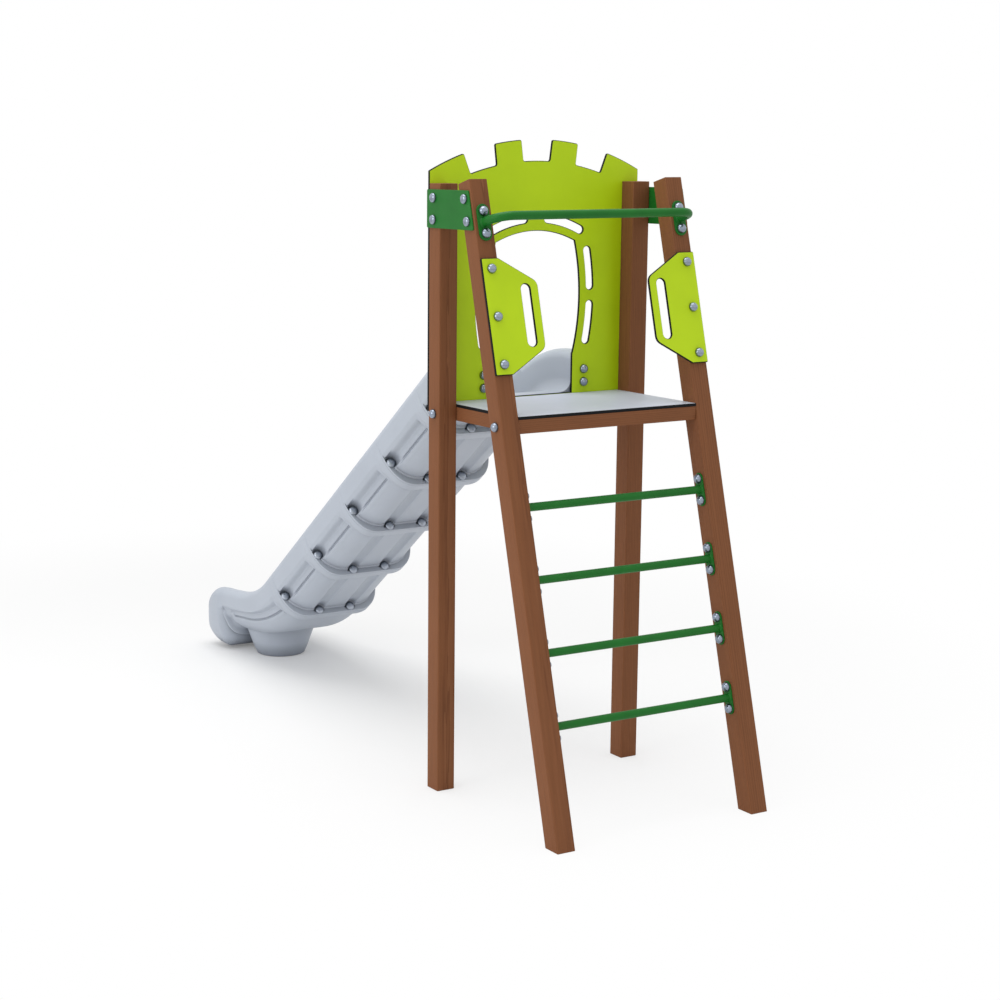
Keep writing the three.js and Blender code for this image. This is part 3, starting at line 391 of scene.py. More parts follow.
class Form:
    """Vertices and faces with a material index each, gathered from several shapes."""

    def __init__(self):
        self.verts = []
        self.faces = []
        self.marks = []

    def put(self, verts, faces, mark=0, matrix=LEVEL):
        start = len(self.verts)
        self.verts += [matrix @ Vector(v) for v in verts]
        self.faces += [[start + i for i in face] for face in faces]
        self.marks += mark if isinstance(mark, list) else [mark] * len(faces)

    def piece(self, node, part, mats, angle=34.0):
        """The gathered shapes as one object that takes the place of a node."""
        name = "%s_%s" % (node, part)
        mesh = bpy.data.meshes.new(name)
        points = [(v.x * MM, v.y * MM + FRONT, v.z * MM) for v in self.verts]
        mesh.from_pydata(points, [], self.faces)
        mesh.polygons.foreach_set("material_index", self.marks)
        bm = bmesh.new()
        bm.from_mesh(mesh)
        bmesh.ops.remove_doubles(bm, verts=bm.verts, dist=0.00002)
        bmesh.ops.dissolve_degenerate(bm, dist=0.00001, edges=bm.edges)
        bmesh.ops.recalc_face_normals(bm, faces=bm.faces)
        limit = radians(angle)
        for face in bm.faces:
            face.smooth = True
        for edge in bm.edges:
            if len(edge.link_faces) == 2:
                edge.smooth = edge.calc_face_angle(0.0) < limit
        bm.to_mesh(mesh)
        bm.free()
        for key in mats:
            mesh.materials.append(MAT[key])
        obj = add_object(name, mesh)
        if mats[0] in TIMBERS:
            mod = obj.modifiers.new("edge", "BEVEL")
            mod.width = TIMBER_BEVEL * MM
            mod.segments = 3
            mod.angle_limit = radians(60)
            mod.harden_normals = True
        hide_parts(node)
        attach(obj, "root")


def arc(x, y, r, a, b, steps):
    """Points on a circle round (x, y) from angle a to angle b."""
    angles = [lerp(a, b, k / steps) for k in range(steps + 1)]
    return [(x + r * cos(t), y + r * sin(t)) for t in angles]


def rounded(corners, steps):
    """An outline through corners (x, y, radius), with each corner rounded."""
    points = []
    count = len(corners)
    for i, (x, y, r) in enumerate(corners):
        here = Vector((x, y))
        if not r:
            points.append((x, y))
            continue
        a = (Vector(corners[i - 1][:2]) - here).normalized()
        b = (Vector(corners[(i + 1) % count][:2]) - here).normalized()
        half = acos(max(-1, min(1, a.dot(b)))) / 2
        centre = here + (a + b).normalized() * (r / sin(half))
        reach = r / tan(half)
        start, end = here + a * reach - centre, here + b * reach - centre
        from_angle = atan2(start.y, start.x)
        turn = atan2(start.x * end.y - start.y * end.x, start.dot(end))
        points += arc(centre.x, centre.y, r, from_angle, from_angle + turn, steps)
    return points


def area(points):
    return sum(a[0] * b[1] - b[0] * a[1] for a, b in zip(points, points[1:] + points[:1])) / 2


def inset(points, amount):
    """The outline moved inwards (outwards for a hole that runs the other way round)."""
    count = len(points)
    moved = []
    for i in range(count):
        p = Vector(points[i])
        a = (p - Vector(points[i - 1])).normalized()
        b = (Vector(points[(i + 1) % count]) - p).normalized()
        na, nb = Vector((-a.y, a.x)), Vector((-b.y, b.x))
        normal = (na + nb).normalized()
        moved.append(tuple(p + normal * (amount / max(0.4, normal.dot(na)))))
    return moved


def slab(form, outline, thickness, holes=(), chamfer=1.0, face=0, edge=1, matrix=LEVEL):
    """A sheet with chamfered rims. The outline lies in X and Z, the thickness along Y."""
    loops = [outline if area(outline) > 0 else outline[::-1]]
    loops += [hole if area(hole) < 0 else hole[::-1] for hole in holes]
    faces_in = [inset(loop, chamfer) for loop in loops]
    flat = tessellate_polygon([[Vector((x, y, 0)) for x, y in loop] for loop in faces_in])
    verts = []
    starts = []
    depths = (0.0, chamfer, thickness - chamfer, thickness)
    for rings, y in zip((faces_in, loops, loops, faces_in), depths):
        starts.append(len(verts))
        verts += [(px, y, pz) for ring in rings for px, pz in ring]
    faces = [[starts[0] + i for i in tri] for tri in flat]
    faces += [[starts[3] + i for i in reversed(tri)] for tri in flat]
    marks = [face] * len(faces)
    offset = 0
    for loop in loops:
        n = len(loop)
        for low, high in zip(starts, starts[1:]):
            for i in range(n):
                a, b = offset + i, offset + (i + 1) % n
                faces.append([low + a, low + b, high + b, high + a])
                marks.append(edge)
        offset += n
    form.put(verts, faces, marks, matrix)


def sideways(x, sign):
    """Turns a slab so that its outline lies in Y and Z, and its thickness along X."""
    return Matrix(((0, sign, 0, x), (1, 0, 0, 0), (0, 0, 1, 0), (0, 0, 0, 1)))


def around(r, k, sides):
    """The point on a circle after k of its equal steps."""
    a = 2 * pi * k / sides
    return r * cos(a), r * sin(a)


def loft(form, rings, mark=0, matrix=LEVEL, caps=True):
    """Joins rings that have the same number of points, and closes both ends."""
    n = len(rings[0])
    verts = [p for ring in rings for p in ring]
    faces = []
    for j in range(len(rings) - 1):
        for k in range(n):
            a, b = j * n + k, j * n + (k + 1) % n
            faces.append([a, b, b + n, a + n])
    if caps:
        faces.append(list(range(n))[::-1])
        faces.append([(len(rings) - 1) * n + k for k in range(n)])
    form.put(verts, faces, mark, matrix)


def lathe(form, profile, mark, matrix, sides=32):
    """Turns (radius, height) points round Z."""
    rings = [[(*around(r, k, sides), z) for k in range(sides)] for r, z in profile]
    loft(form, rings, mark, matrix, caps=False)


def facing(x, y, z, direction):
    """Places a form's Z along a direction."""
    turn = Vector(direction).to_track_quat("Z", "Y").to_matrix().to_4x4()
    return Matrix.Translation((x, y, z)) @ turn


def dome(form, matrix, mark, radius, height):
    """A bolt's domed cap with a low rim and a flat seat. A low cap has fuller shoulders."""
    rim = 2.6
    full = 0.8 if height < radius else 1.0
    profile = [(0.0, 0.0), (radius - 0.6, 0.0), (radius, 0.7), (radius, rim)]
    for a in (k * pi / 2 / 9 for k in range(1, 9)):
        profile.append((radius * cos(a) ** full, rim + (height - rim) * sin(a) ** full))
    profile.append((0.0, height))
    lathe(form, profile, mark, matrix)


def bolts(name, places, direction, base=LEVEL, height=CAP_H):
    """Numbered bolts that have nodes of their own."""
    for k, place in enumerate(places):
        form = Form()
        dome(form, base @ facing(*place, direction), 0, CAP_R, height)
        form.piece("%s_%d" % (name, k + 1), "cap", ["steel"], 50)


def timbers():
    for side, sign in SIDES:
        low, high = (sign * TIMBER_MID + d for d in (-TIMBER / 2, TIMBER / 2))
        corners = [(low, 0.0), (high, 0.0), (high, TIMBER), (low, TIMBER)]
        ring = rounded([(x, y, TIMBER_EDGE) for x, y in corners], 6)
        post = Form()
        loft(post, [[(x, y, z) for x, y in ring] for z in (0.0, POST_HEIGHT)])
        post.piece("post_" + side, "timber", ["timber_up"])
        # The stile's foot is cut along the ground.
        stile = Form()
        foot = [(x, y, y * tan(LEAN)) for x, y in ring]
        top = [(x, y, STILE_TOP / cos(LEAN)) for x, y in ring]
        loft(stile, [foot, top], matrix=STILE)
        stile.piece("stile_" + side, "timber", ["timber_stile"])


def beam(name, a, b, key):
    """A beam of the platform's frame, as a box from corner a to corner b."""
    form = Form()
    xs, ys, zs = zip(a, b)
    verts = [(x, y, z) for x in xs for y in ys for z in zs]
    faces = [[0, 1, 3, 2], [4, 6, 7, 5], [0, 4, 5, 1], [2, 3, 7, 6], [0, 2, 6, 4], [1, 5, 7, 3]]
    form.put(verts, faces)
    form.piece(name, "timber", [key])


def platform():
    front_y = (PLATFORM - SHEET) * tan(LEAN) - STILE_REACH
    rear_y = TIMBER - TOUCH
    half = BAY_HALF - TOUCH
    low = BEAM_TOP - BEAM
    beam("beam_front", (-half, front_y, low), (half, front_y + BEAM, BEAM_TOP), "timber_x")
    beam("beam_rear", (-half, rear_y - BEAM, low), (half, rear_y, BEAM_TOP), "timber_x")
    for side, sign in SIDES:
        a = (sign * (half - BEAM), front_y + BEAM + TOUCH, low)
        b = (sign * half, rear_y - BEAM - TOUCH, BEAM_TOP)
        beam("beam_" + side, a, b, "timber_y")
    deck = Form()
    outline = [(-half, front_y), (half, front_y), (half, rear_y), (-half, rear_y)]
    turn = Matrix(((1, 0, 0, 0), (0, 0, 1, 0), (0, -1, 0, PLATFORM), (0, 0, 0, 1)))
    slab(deck, outline, SHEET, chamfer=1.2, matrix=turn)
    deck.piece("platform_deck", "sheet", ["deck", "core"])


def arc_slot(x, y, r, a, b, width=37.0):
    """A slot with round ends along an arc from angle a to angle b."""
    half = width / 2

    def cap(angle, turn):
        cx, cy = x + r * cos(angle), y + r * sin(angle)
        return arc(cx, cy, half, angle + turn, angle + turn + pi, 10)

    outer, inner = arc(x, y, r + half, a, b, 12), arc(x, y, r - half, b, a, 12)
    return outer[1:-1] + cap(b, 0) + inner[1:-1] + cap(a, pi)


def castle_panel():
    centre = CROWN - CROWN_RADIUS - 0.2
    edge_turn = pi / 2 - acos(FRAME_HALF / CROWN_RADIUS)
    floor_r = CROWN_RADIUS - NOTCH_DEPTH
    top_turn, floor_turn = NOTCH_TOP / CROWN_RADIUS, NOTCH_FLOOR / floor_r

    def polar(r, a, corner):
        return (r * sin(a), centre + r * cos(a), corner)

    def crown(a, b, corner):
        points = [polar(CROWN_RADIUS, lerp(a, b, k / 8), 0) for k in range(1, 8)]
        return points + [polar(CROWN_RADIUS, b, corner)]

    corners = [(x, PANEL_BOTTOM, CORNER) for x in (-FRAME_HALF, FRAME_HALF)]
    corners.append(polar(CROWN_RADIUS, edge_turn, CORNER))
    start = edge_turn
    for angle in (NOTCH_ANGLE, 0.0, -NOTCH_ANGLE):
        corners += crown(start, angle + top_turn, 9)
        for share, corner in ((1, 9), (0.5, 0), (0, 0), (-0.5, 0), (-1, 9)):
            corners.append(polar(floor_r, angle + floor_turn * share, corner))
        start = angle - top_turn
        corners.append(polar(CROWN_RADIUS, start, 9))
    corners += crown(start, -edge_turn, CORNER)

    side = (DOOR_HALF - DOOR_SIDE_R, SILL + DOOR_WIDEST)
    arch_y = SILL + DOOR_HEIGHT - DOOR_ARCH_R
    low, high = (asin((rise - DOOR_WIDEST) / DOOR_SIDE_R) for rise in DOOR_BOW)
    arch_turn = acos((side[0] + DOOR_SIDE_R * cos(high)) / DOOR_ARCH_R)
    right = [(DOOR_SILL_HALF, SILL), (DOOR_SILL_HALF, SILL + DOOR_UPRIGHT)]
    right += arc(*side, DOOR_SIDE_R, low, high, 24)
    arch = arc(0, arch_y, DOOR_ARCH_R, arch_turn, pi - arch_turn, 36)[1:-1]
    door = right + arch + [(-x, y) for x, y in reversed(right)]

    # Three slots follow each side of the doorway, and are mirrored
    up = pi / 2
    near, far = radians(2.3), radians(10.9)
    slots = [
        arc_slot(0, arch_y, DOOR_ARCH_R + 56, up - radians(26), up - radians(6.7)),
        arc_slot(*side, DOOR_SIDE_R + 57, near, far),
        arc_slot(*side, DOOR_SIDE_R + 57, -far, -near),
    ]
    slots += [[(-x, y) for x, y in reversed(slot)] for slot in slots]
    form = Form()
    place = Matrix.Translation((0, PANEL_Y, 0))
    slab(form, rounded(corners, 6), SHEET, [door] + slots, chamfer=3.0, matrix=place)
    form.piece("castle_panel", "sheet", ["lime", "core"])


def stadium(x, rise, radius):
    """An outline with a round end at each of the heights rise and -rise."""
    top = arc(x, rise, radius, 0, pi, 14)
    return top + arc(x, -rise, radius, pi, 2 * pi, 14)


def hand_panels():
    middle = HAND_MIDDLE / cos(LEAN)
    slot_x = HAND_INNER + 64.0
    corners = [
        (FRAME_HALF, -HAND_RISE, CORNER),
        (FRAME_HALF, HAND_RISE, CORNER),
        (HAND_TURN, HAND_RISE, CORNER),
        (HAND_INNER, HAND_RISE - HAND_CUT, 40),
        (HAND_INNER, HAND_CUT - HAND_RISE, 40),
        (HAND_TURN, -HAND_RISE, CORNER),
    ]
    for side, sign in SIDES:
        outline = rounded([(sign * x, z, r) for x, z, r in corners], 10)
        slot = stadium(sign * slot_x, 111.0, 23.0)
        form = Form()
        place = STILE @ Matrix.Translation((0, -TOUCH - SHEET, middle))
        slab(form, outline, SHEET, [slot], chamfer=3.0, matrix=place)
        form.piece("hand_panel_" + side, "sheet", ["lime", "core"])
        spots = [(sign * TIMBER_MID, -TOUCH - SHEET, middle + s) for s in HAND_BOLTS]
        bolts("hand_bolt_" + side, spots, (0, -1, 0), STILE)


def top_plates():
    def front_at(z):
        return z * tan(LEAN) - STILE_REACH + 9.0

    corners = [
        (front_at(PLATE_BOTTOM), PLATE_BOTTOM, 8),
        (PLATE_BACK, PLATE_BOTTOM, 8),
        (PLATE_BACK, PLATE_TOP, 8),
        (front_at(PLATE_TOP), PLATE_TOP, 8),
    ]
    for side, sign in SIDES:
        form = Form()
        place = sideways(sign * (FRAME_HALF + TOUCH), sign)
        slab(form, rounded(corners, 6), PLATE_THICK, edge=0, chamfer=0.8, matrix=place)
        form.piece("top_plate_" + side, "steel", ["green"])


def weld(form, radius, size, matrix):
    """A small fillet of weld round a tube where it meets its flange."""
    profile = [(0.0, size), (0.3 * size, 0.35 * size), (size, 0.0), (0.0, 0.0)]
    lathe(form, [(radius + r, z) for r, z in profile], 0, matrix)


def rungs():
    inner = BAY_HALF - TOUCH
    for k in range(RUNGS):
        z = RUNG_LOW + k * RUNG_PITCH
        run = z / cos(LEAN) + TIMBER / 2 * tan(LEAN)
        form = Form()
        base = STILE @ Matrix.Translation((0, TIMBER / 2, run))
        tube = [(RUNG_R, -inner + 5.0), (RUNG_R, inner - 5.0)]
        lathe(form, tube, 0, base @ Matrix.Rotation(pi / 2, 4, "Y"))
        for sign in (-1, 1):
            place = base @ sideways(sign * inner, -sign)
            flange = stadium(0, RUNG_BOLT, RUNG_FLANGE_R)
            slab(form, flange, RUNG_FLANGE, edge=0, matrix=place)
            seat = sign * (inner - RUNG_FLANGE)
            weld(form, RUNG_R, 5.0, base @ facing(seat, 0, 0, (-sign, 0, 0)))
            for rise in (-RUNG_BOLT, RUNG_BOLT):
                dome(form, base @ facing(seat, 0, rise, (-sign, 0, 0)), 1, CAP_R, CAP_H)
        form.piece("rung_%d" % (k + 1), "tube", ["green", "steel"], 40)


def grab_bar():
    run = BAR_Z / cos(LEAN)
    face = -TOUCH - BAR_FLANGE
    x, y = TIMBER_MID - BAR_BEND, BAR_BEND - BAR_STAND
    path = [(-TIMBER_MID, face + 1.0), (-TIMBER_MID, face - 14.0)]
    path += arc(-x, y, BAR_BEND, pi, 1.5 * pi, 16)
    path += [(-x + 2 * x * k / 8, -BAR_STAND) for k in range(1, 8)]
    path += arc(x, y, BAR_BEND, 1.5 * pi, 2 * pi, 16)
    path += [(TIMBER_MID, face - 14.0), (TIMBER_MID, face + 1.0)]
    rings = []
    for i, p in enumerate(path):
        a = Vector(path[max(0, i - 1)])
        b = Vector(path[min(len(path) - 1, i + 1)])
        t = (b - a).normalized()
        n = Vector((-t.y, t.x))
        ring = [(n * out, up) for out, up in (around(BAR_R, k, 28) for k in range(28))]
        rings.append([(p[0] + side.x, p[1] + side.y, run + up) for side, up in ring])
    form = Form()
    loft(form, rings, matrix=STILE)
    for side, sign in SIDES:
        place = STILE @ Matrix.Translation((sign * TIMBER_MID, face, run))
        slab(form, stadium(0, BAR_BOLT, BAR_FLANGE_R), BAR_FLANGE, edge=0, matrix=place)
        weld(form, BAR_R, 6.0, STILE @ facing(sign * TIMBER_MID, face, run, (0, -1, 0)))
        spots = [(sign * TIMBER_MID, face, run + s) for s in (-BAR_BOLT, BAR_BOLT)]
        bolts("bar_bolt_" + side, spots, (0, -1, 0), STILE)
    form.piece("grab_bar", "tube", ["green"], 40)


def straight_bolts():
    """The bolts that lie level: through the plates, the frame, the slide's mouth and the panel."""

    def stile_mid(z):
        return z * tan(LEAN) - STILE_REACH + TIMBER / 2 / cos(LEAN)

    for side, sign in SIDES:
        out = (sign, 0, 0)
        x = sign * (FRAME_HALF + TOUCH + PLATE_THICK)
        spots = [(x, y, z) for z in PLATE_BOLTS for y in (stile_mid(z), TIMBER / 2)]
        bolts("plate_bolt_" + side, spots, out, height=BOLT_H)
        middles = (stile_mid(FRAME_BOLT_Z), TIMBER / 2)
        spots = [(sign * FRAME_HALF, y, FRAME_BOLT_Z) for y in middles]
        bolts("frame_bolt_" + side, spots, out)
        spots = [(sign * ENTRY_BOLT_X, PANEL_Y, SILL + rise) for rise in ENTRY_BOLT_RISES]
        bolts("entry_bolt_" + side, spots, (0, -1, 0))
        spots = [(sign * TIMBER_MID, PANEL_BACK, z) for z in PANEL_BOLTS]
        bolts("panel_bolt_" + side, spots, (0, 1, 0))


# Sizes of the trough's outline, counted from its floor: half is half the width over the rims and
# inner the one between them, flat and corner shape the underside, and the floor's own sizes follow
SKIN = dict(half=302.0, inner=212.0, top=227.0, bottom=-37.0, flat=135.0, corner=235.0)
SKIN.update(floor=0.0, floor_half=135.0, floor_corner=204.0)
COLLAR_SIZE = dict(SKIN, bottom=-71.0, flat=150.0, corner=270.0)
RUN_SKIN = dict(SKIN, top=216.5, bottom=-25.0, corner=258.0)
RIM = (SKIN["half"] - SKIN["inner"]) / 2  # radius of the rims
# Heights of the underside and of the rims' lower ends
SKIN_SPAN = (SKIN["bottom"], SKIN["top"] - RIM)
RUN_SPAN = (RUN_SKIN["bottom"], RUN_SKIN["top"] - RIM)


def mixed(a, b, t):
    return {key: lerp(a[key], b[key], t) for key in a}


def blend(a, b, c, t):
    """A quadratic curve from a to c, pulled towards b."""
    return (1 - t) ** 2 * a + 2 * t * (1 - t) * b + t * t * c


# Heights of a side channel: upper and inner edge of its soft upper wall, its sharp lower edge, and
# how deep its floor lies at those two ends
SLOPE_GROOVE = dict(up=90.0, inner=58.0, low=26.0, deep=17.0, shallow=3.0)
RUN_GROOVE = dict(up=117.0, inner=96.0, low=66.0, deep=14.0, shallow=2.5)
STEP = 4.0  # width of the sharp wall

# Points of the outline's half: those of the flat underside, and all those on the outside
UNDER = 34
OUTER = UNDER + 92


def outline(size, groove=SLOPE_GROOVE):
    """The trough's outline from the underside's middle to the floor's middle, then mirrored."""
    rim = (size["half"] - size["inner"]) / 2
    bottom, shoulder = size["bottom"], size["top"] - rim
    inner_break = lerp(size["floor"], shoulder, 0.4)
    flat = size["flat"]
    half = [(flat * k / UNDER, bottom) for k in range(UNDER)]
    start, end = groove.get("span", (bottom, shoulder))

    def share(height):
        return (height - start) / (end - start)

    low = share(groove["low"] - STEP)
    shares = [low * (k / 44) ** 2 for k in range(44)]
    breaks = [low] + [share(groove[key]) for key in ("low", "inner", "up")] + [1.0]
    for a, b, steps in zip(breaks, breaks[1:], (4, 14, 18, 12)):
        shares += [lerp(a, b, k / steps) for k in range(steps)]
    for f in shares:
        t = min(1.0, sqrt(f / 0.65))
        half.append((blend(flat, size["corner"], size["half"], t), lerp(bottom, shoulder, f)))
    half += arc(size["half"] - rim, shoulder, rim, 0, pi, 18)
    half += [(size["inner"], lerp(shoulder, inner_break, k / 6)) for k in range(1, 6)]
    floor, floor_half = size["floor"], size["floor_half"]
    for k in range(15):
        x = blend(size["inner"], size["floor_corner"], floor_half, k / 14)
        half.append((x, blend(inner_break, floor, floor, k / 14)))
    half += [(floor_half * (1 - k / 6), floor) for k in range(1, 7)]
    return half + [(-x, h) for x, h in reversed(half[1:-1])]


def soft_max(a, b, k):
    """The larger one, rounded over a width k where they meet."""
    h = max(k - abs(a - b), 0.0) / k
    return max(a, b) + h * h * k / 4


def bell(t):
    """1 at 0, and down to 0 at 1 on both sides."""
    return max(0.0, 1 - t * t) ** 2


def pressed(points, depth_at):
    """Moves the outside of an outline inwards by depth_at(x, h, index in its half, normal)."""
    count = len(points)
    out = list(points)
    for i in list(range(OUTER)) + list(range(count - OUTER + 1, count)):
        x, h = points[i]
        t = Vector(points[(i + 1) % count]) - Vector(points[i - 1])
        n = Vector((t.y, -t.x)).normalized()
        depth = depth_at(abs(x), h, min(i, count - i), Vector((copysign(n.x, n.x * x), n.y)))
        out[i] = tuple(Vector((x, h)) - n * depth)
    return out


def side_groove(h, groove, line=1.0):
    """Depth of a side channel at a height, with a fine line along its lower edge and a swelling."""
    up, inner, low = groove["up"], groove["inner"], groove["low"]
    if h < low - STEP:
        return -1.2 * bell((low - STEP - 9 - h) / 9)
    floor = lerp(groove["shallow"], groove["deep"], min(1.0, max(0.0, (h - low) / (inner - low))))
    floor = lerp(groove["deep"] * smooth((h - inner + 20) / 20), floor, line)
    floor += 8.0 * line * bell((h - low - 2) / 7)
    return floor * smooth((up - h) / (up - inner)) * smooth((h - low + STEP) / STEP)


# The round hollows at the bolts, and the lower channels
POCKET = (279.0, 58.0)
POCKET_R = 35.0
LOW_POCKET_R = 31.0
LOW_GROOVE_R = 36.0


def side_pocket(x, h, n):
    """Depth of the round hollow that a side channel deepens into at its bolt."""
    away = Vector((x - POCKET[0], h - POCKET[1]))
    across = away.x * n.y - away.y * n.x
    if abs(across) > POCKET_R:
        edge = POCKET_R - abs(across)
        return soft_max(0.0, 1.4 * edge, 9.0) if edge > -9 else 0.0
    return soft_max(0.0, away.dot(n) + sqrt(POCKET_R**2 - across * across), 9.0)


def low_pocket(x):
    """The same for a lower channel."""
    reach = abs(x - LOW_BOLT[0])
    if reach >= LOW_POCKET_R:
        return 0.0
    return soft_max(0.0, sqrt(LOW_POCKET_R**2 - reach * reach) - 9.0, 6.0)


def low_groove(x):
    """Depth of a lower channel, which is a soft round hollow."""
    reach = abs(x - LOW_BOLT[0])
    full = 0.7 * sqrt(max(0.0, LOW_GROOVE_R**2 - reach * reach)) - 11.0
    return soft_max(0.0, full, 4.0)


def stand(points, y, z, tilt):
    """An outline's points in space, its floor at (y, z) and tilted down the slope."""
    s, c = sin(tilt), cos(tilt)
    return [(x, y + h * s, z + h * c) for x, h in points]


def slope_at(distance):
    """Place and tilt of the floor on the straight slope, from where the crest ends."""
    y = CREST_Y + CREST_R * SIN + distance * COS
    z = SILL - CREST_R * (1 - COS) - distance * SIN
    return y, z, SLOPE


def grown(points, amount, shares):
    """The outline moved outwards along its normals, by each point's share of an amount."""
    moved = zip(points, inset(points, -1.0), shares)
    return [tuple(Vector(p).lerp(Vector(q), amount * share)) for p, q, share in moved]


def trough(depth=1.0, pocket=0.0):
    """The skin's outline with its four channels pressed in."""

    def depth_at(x, h, k, n):
        if k < UNDER:
            return depth * lerp(low_groove(x), max(low_groove(x), low_pocket(x)), pocket**3)
        return depth * lerp(side_groove(h, SLOPE_GROOVE), side_pocket(x, h, n), pocket)

    return pressed(outline(SKIN), depth_at)


COLLAR_RIM = outline(COLLAR_SIZE, dict(SLOPE_GROOVE, span=SKIN_SPAN))
# How far the collar stands out at each point, from 0 where it runs into the skin to 1
PAIRS = zip(COLLAR_RIM, outline(SKIN))
STANDING = [min(1.0, (Vector(p) - Vector(q)).length / 12) for p, q in PAIRS]

# The crease and the bead before a flange: distance up the slope, and how far the skin stands out
BEAD = [(16, 0.0), (12, -1.0), (10.5, -2.2), (9, -1.0)]
BEAD += [(7.5, 2.5), (5, 4.6), (2, 5.4), (0, 5.6)]


def collar_rings(at, start, steps):
    """The collar's outline, moved outwards by each step's amount at its distance."""
    return [stand(grown(COLLAR_RIM, amount, STANDING), *at(start + s)) for amount, s in steps]


def end_rings(at, end):
    """The end at a joint: a crease, a bead, and the flange with hollows at its bolts."""
    full = trough(pocket=1.0)
    seat = end - FLANGE
    lower = [smooth((55 - h) / 25) for _, h in full]
    rings = [stand(grown(full, swell, lower), *at(seat - s)) for s, swell in BEAD]
    inner = grown(full, BEAD[-1][1], lower)
    outer = grown(COLLAR_RIM, -1.8, STANDING)
    hollows = [(SIDE_BOLT, (-0.5, 0.87), 36.0), (LOW_BOLT, (0.0, 1.0), 32.5)]
    for step in range(9):
        ring = []
        for (ax, ah), (bx, bh) in zip(inner, outer):
            x, h = lerp(ax, bx, step / 8), lerp(ah, bh, step / 8)
            sunk = 0.0
            for (cx, ch), up, reach in hollows:
                away = Vector((abs(x) - cx, h - ch))
                near = smooth((reach - away.length) / 9) * smooth(away.dot(Vector(up)) / 12 + 0.6)
                sunk = max(sunk, 14.0 * near * min(1.0, 2.5 * (1 - step / 8)))
            ring.append(stand([(x, h)], *at(seat + (sunk if step else 0.0)))[0])
        rings.append(ring)
    return rings + collar_rings(at, end, ((0.0, 1.8 - FLANGE), (0.0, -1.2), (-1.2, 0.0)))


def start_rings(at, start=0.0):
    """The collar, a small step and the taper down to the skin."""
    steps = ((-1.2, 0.0), (0.0, 1.2), (0.0, COLLAR - 8), (-0.5, COLLAR - 6.5), (-2.0, COLLAR - 5))
    rings = collar_rings(at, start, steps)
    skin = outline(SKIN)
    for k in range(1, 9):
        t = smooth(k / 8)
        ring = [(lerp(a[0], b[0], t), lerp(a[1], b[1], t)) for a, b in zip(COLLAR_RIM, skin)]
        ring = grown(ring, -2.0 * (1 - t), STANDING)
        rings.append(stand(ring, *at(start + lerp(COLLAR - 3, TAPER, k / 8))))
    return rings


def channel_rings(at, begin, end):
    """Skin between two stations, with the channels fading in at the upper one."""
    rings = [stand(trough(depth=smooth(k / 4)), *at(begin + 2.0 * k)) for k in range(5)]
    full = trough()
    far = max(begin + 12, end - 120)
    rings += [stand(full, *at(lerp(begin + 8, far, k / 3))) for k in range(1, 4)]
    for t in (k / 8 for k in range(1, 9)):
        rings.append(stand(trough(pocket=smooth(t) ** 2), *at(lerp(far, end - 20, t))))
    return rings


def joint_domes(form, at, seat):
    """The four bolts of a joint, each on a short round seat in its hollow."""
    tilt = at(seat)[2]
    up_slope = Vector((0, -cos(tilt), sin(tilt)))
    spots = [(sign * x, h) for x, h in (SIDE_BOLT, LOW_BOLT) for _, sign in SIDES]
    for spot in stand(spots, *at(seat)):
        place = facing(*spot, up_slope)
        dome(form, place, 1, JOINT_CAP_R, BOLT_H)
        lathe(form, [(JOINT_SEAT_R, -15.0), (JOINT_SEAT_R, 0.5)], 1, place, 24)


def moulding(node, rings, at, begin, length):
    """A piece of the slide, from its first rings over its channels to the joint at its end."""
    rings += channel_rings(at, begin, length - FLANGE)
    form = Form()
    loft(form, rings + end_rings(at, length))
    joint_domes(form, at, length - FLANGE)
    form.piece(node, "moulding", ["plastic", "cap"], 40)


def slide_sections():
    for n in range(SECTIONS):
        def at(s, n=n):
            return slope_at(ENTRY_STRAIGHT + n * PITCH + s)

        moulding("slide_section_%d" % (n + 1), start_rings(at), at, TAPER + 6, PITCH - TOUCH)


def slide_entry():
    start = PANEL_BACK + TOUCH
    run = CREST_Y - start + CREST_R * SLOPE + ENTRY_STRAIGHT

    def size_at(distance, share):
        top = lerp(189.0, SKIN["top"], min(1.0, distance / run) ** 2)
        return dict(mixed(COLLAR_SIZE, SKIN, share), top=top)

    def level(d, share, inward=0.0):
        points = outline(size_at(d, share))
        return stand(inset(points, inward) if inward else points, start + d, SILL, 0.0)

    rings = [level(0, 0, 1.2), level(1.2, 0), level(24, 0)]
    rings += [level(lerp(26, 52, k / 6), smooth(k / 6)) for k in range(1, 7)]
    for a in (SLOPE * k / 14 for k in range(1, 15)):
        points = outline(size_at(CREST_Y - start + CREST_R * a, 1))
        y = CREST_Y + CREST_R * sin(a)
        rings.append(stand(points, y, SILL - CREST_R * (1 - cos(a)), a))
    moulding("slide_entry", rings, slope_at, 6, ENTRY_STRAIGHT - TOUCH)


EXIT_START = ENTRY_STRAIGHT + SECTIONS * PITCH
BEND_Y, BEND_Z, _ = slope_at(EXIT_START + EXIT_STRAIGHT)


def bend_at(angle):
    """Place and tilt of the floor round the bend."""
    y = BEND_Y + BEND_R * (SIN - sin(angle))
    return y, BEND_Z - BEND_R * (cos(angle) - COS), angle


RUN_Y, RUN_Z, _ = bend_at(RUN_OUT)
NOSE_Y = RUN_Y + NOSE_BACK_REACH
RECESS_Y = NOSE_Y - 150.0  # where the hollow behind the nose begins
TIP_Y = NOSE_Y + NOSE_LENGTH
TIP_LIMIT = (cad_high.y - FRONT) / MM - 0.05
# Sizes at the very tip: half widths of its rim and its flat part, and heights over the ground
TIP_HALF = 268.0
TIP_FLAT = 216.0
TIP_TOP = 161.0
TIP_Z = 91.0


def run_floor(y):
    return RUN_Z - (y - RUN_Y) * tan(RUN_OUT)


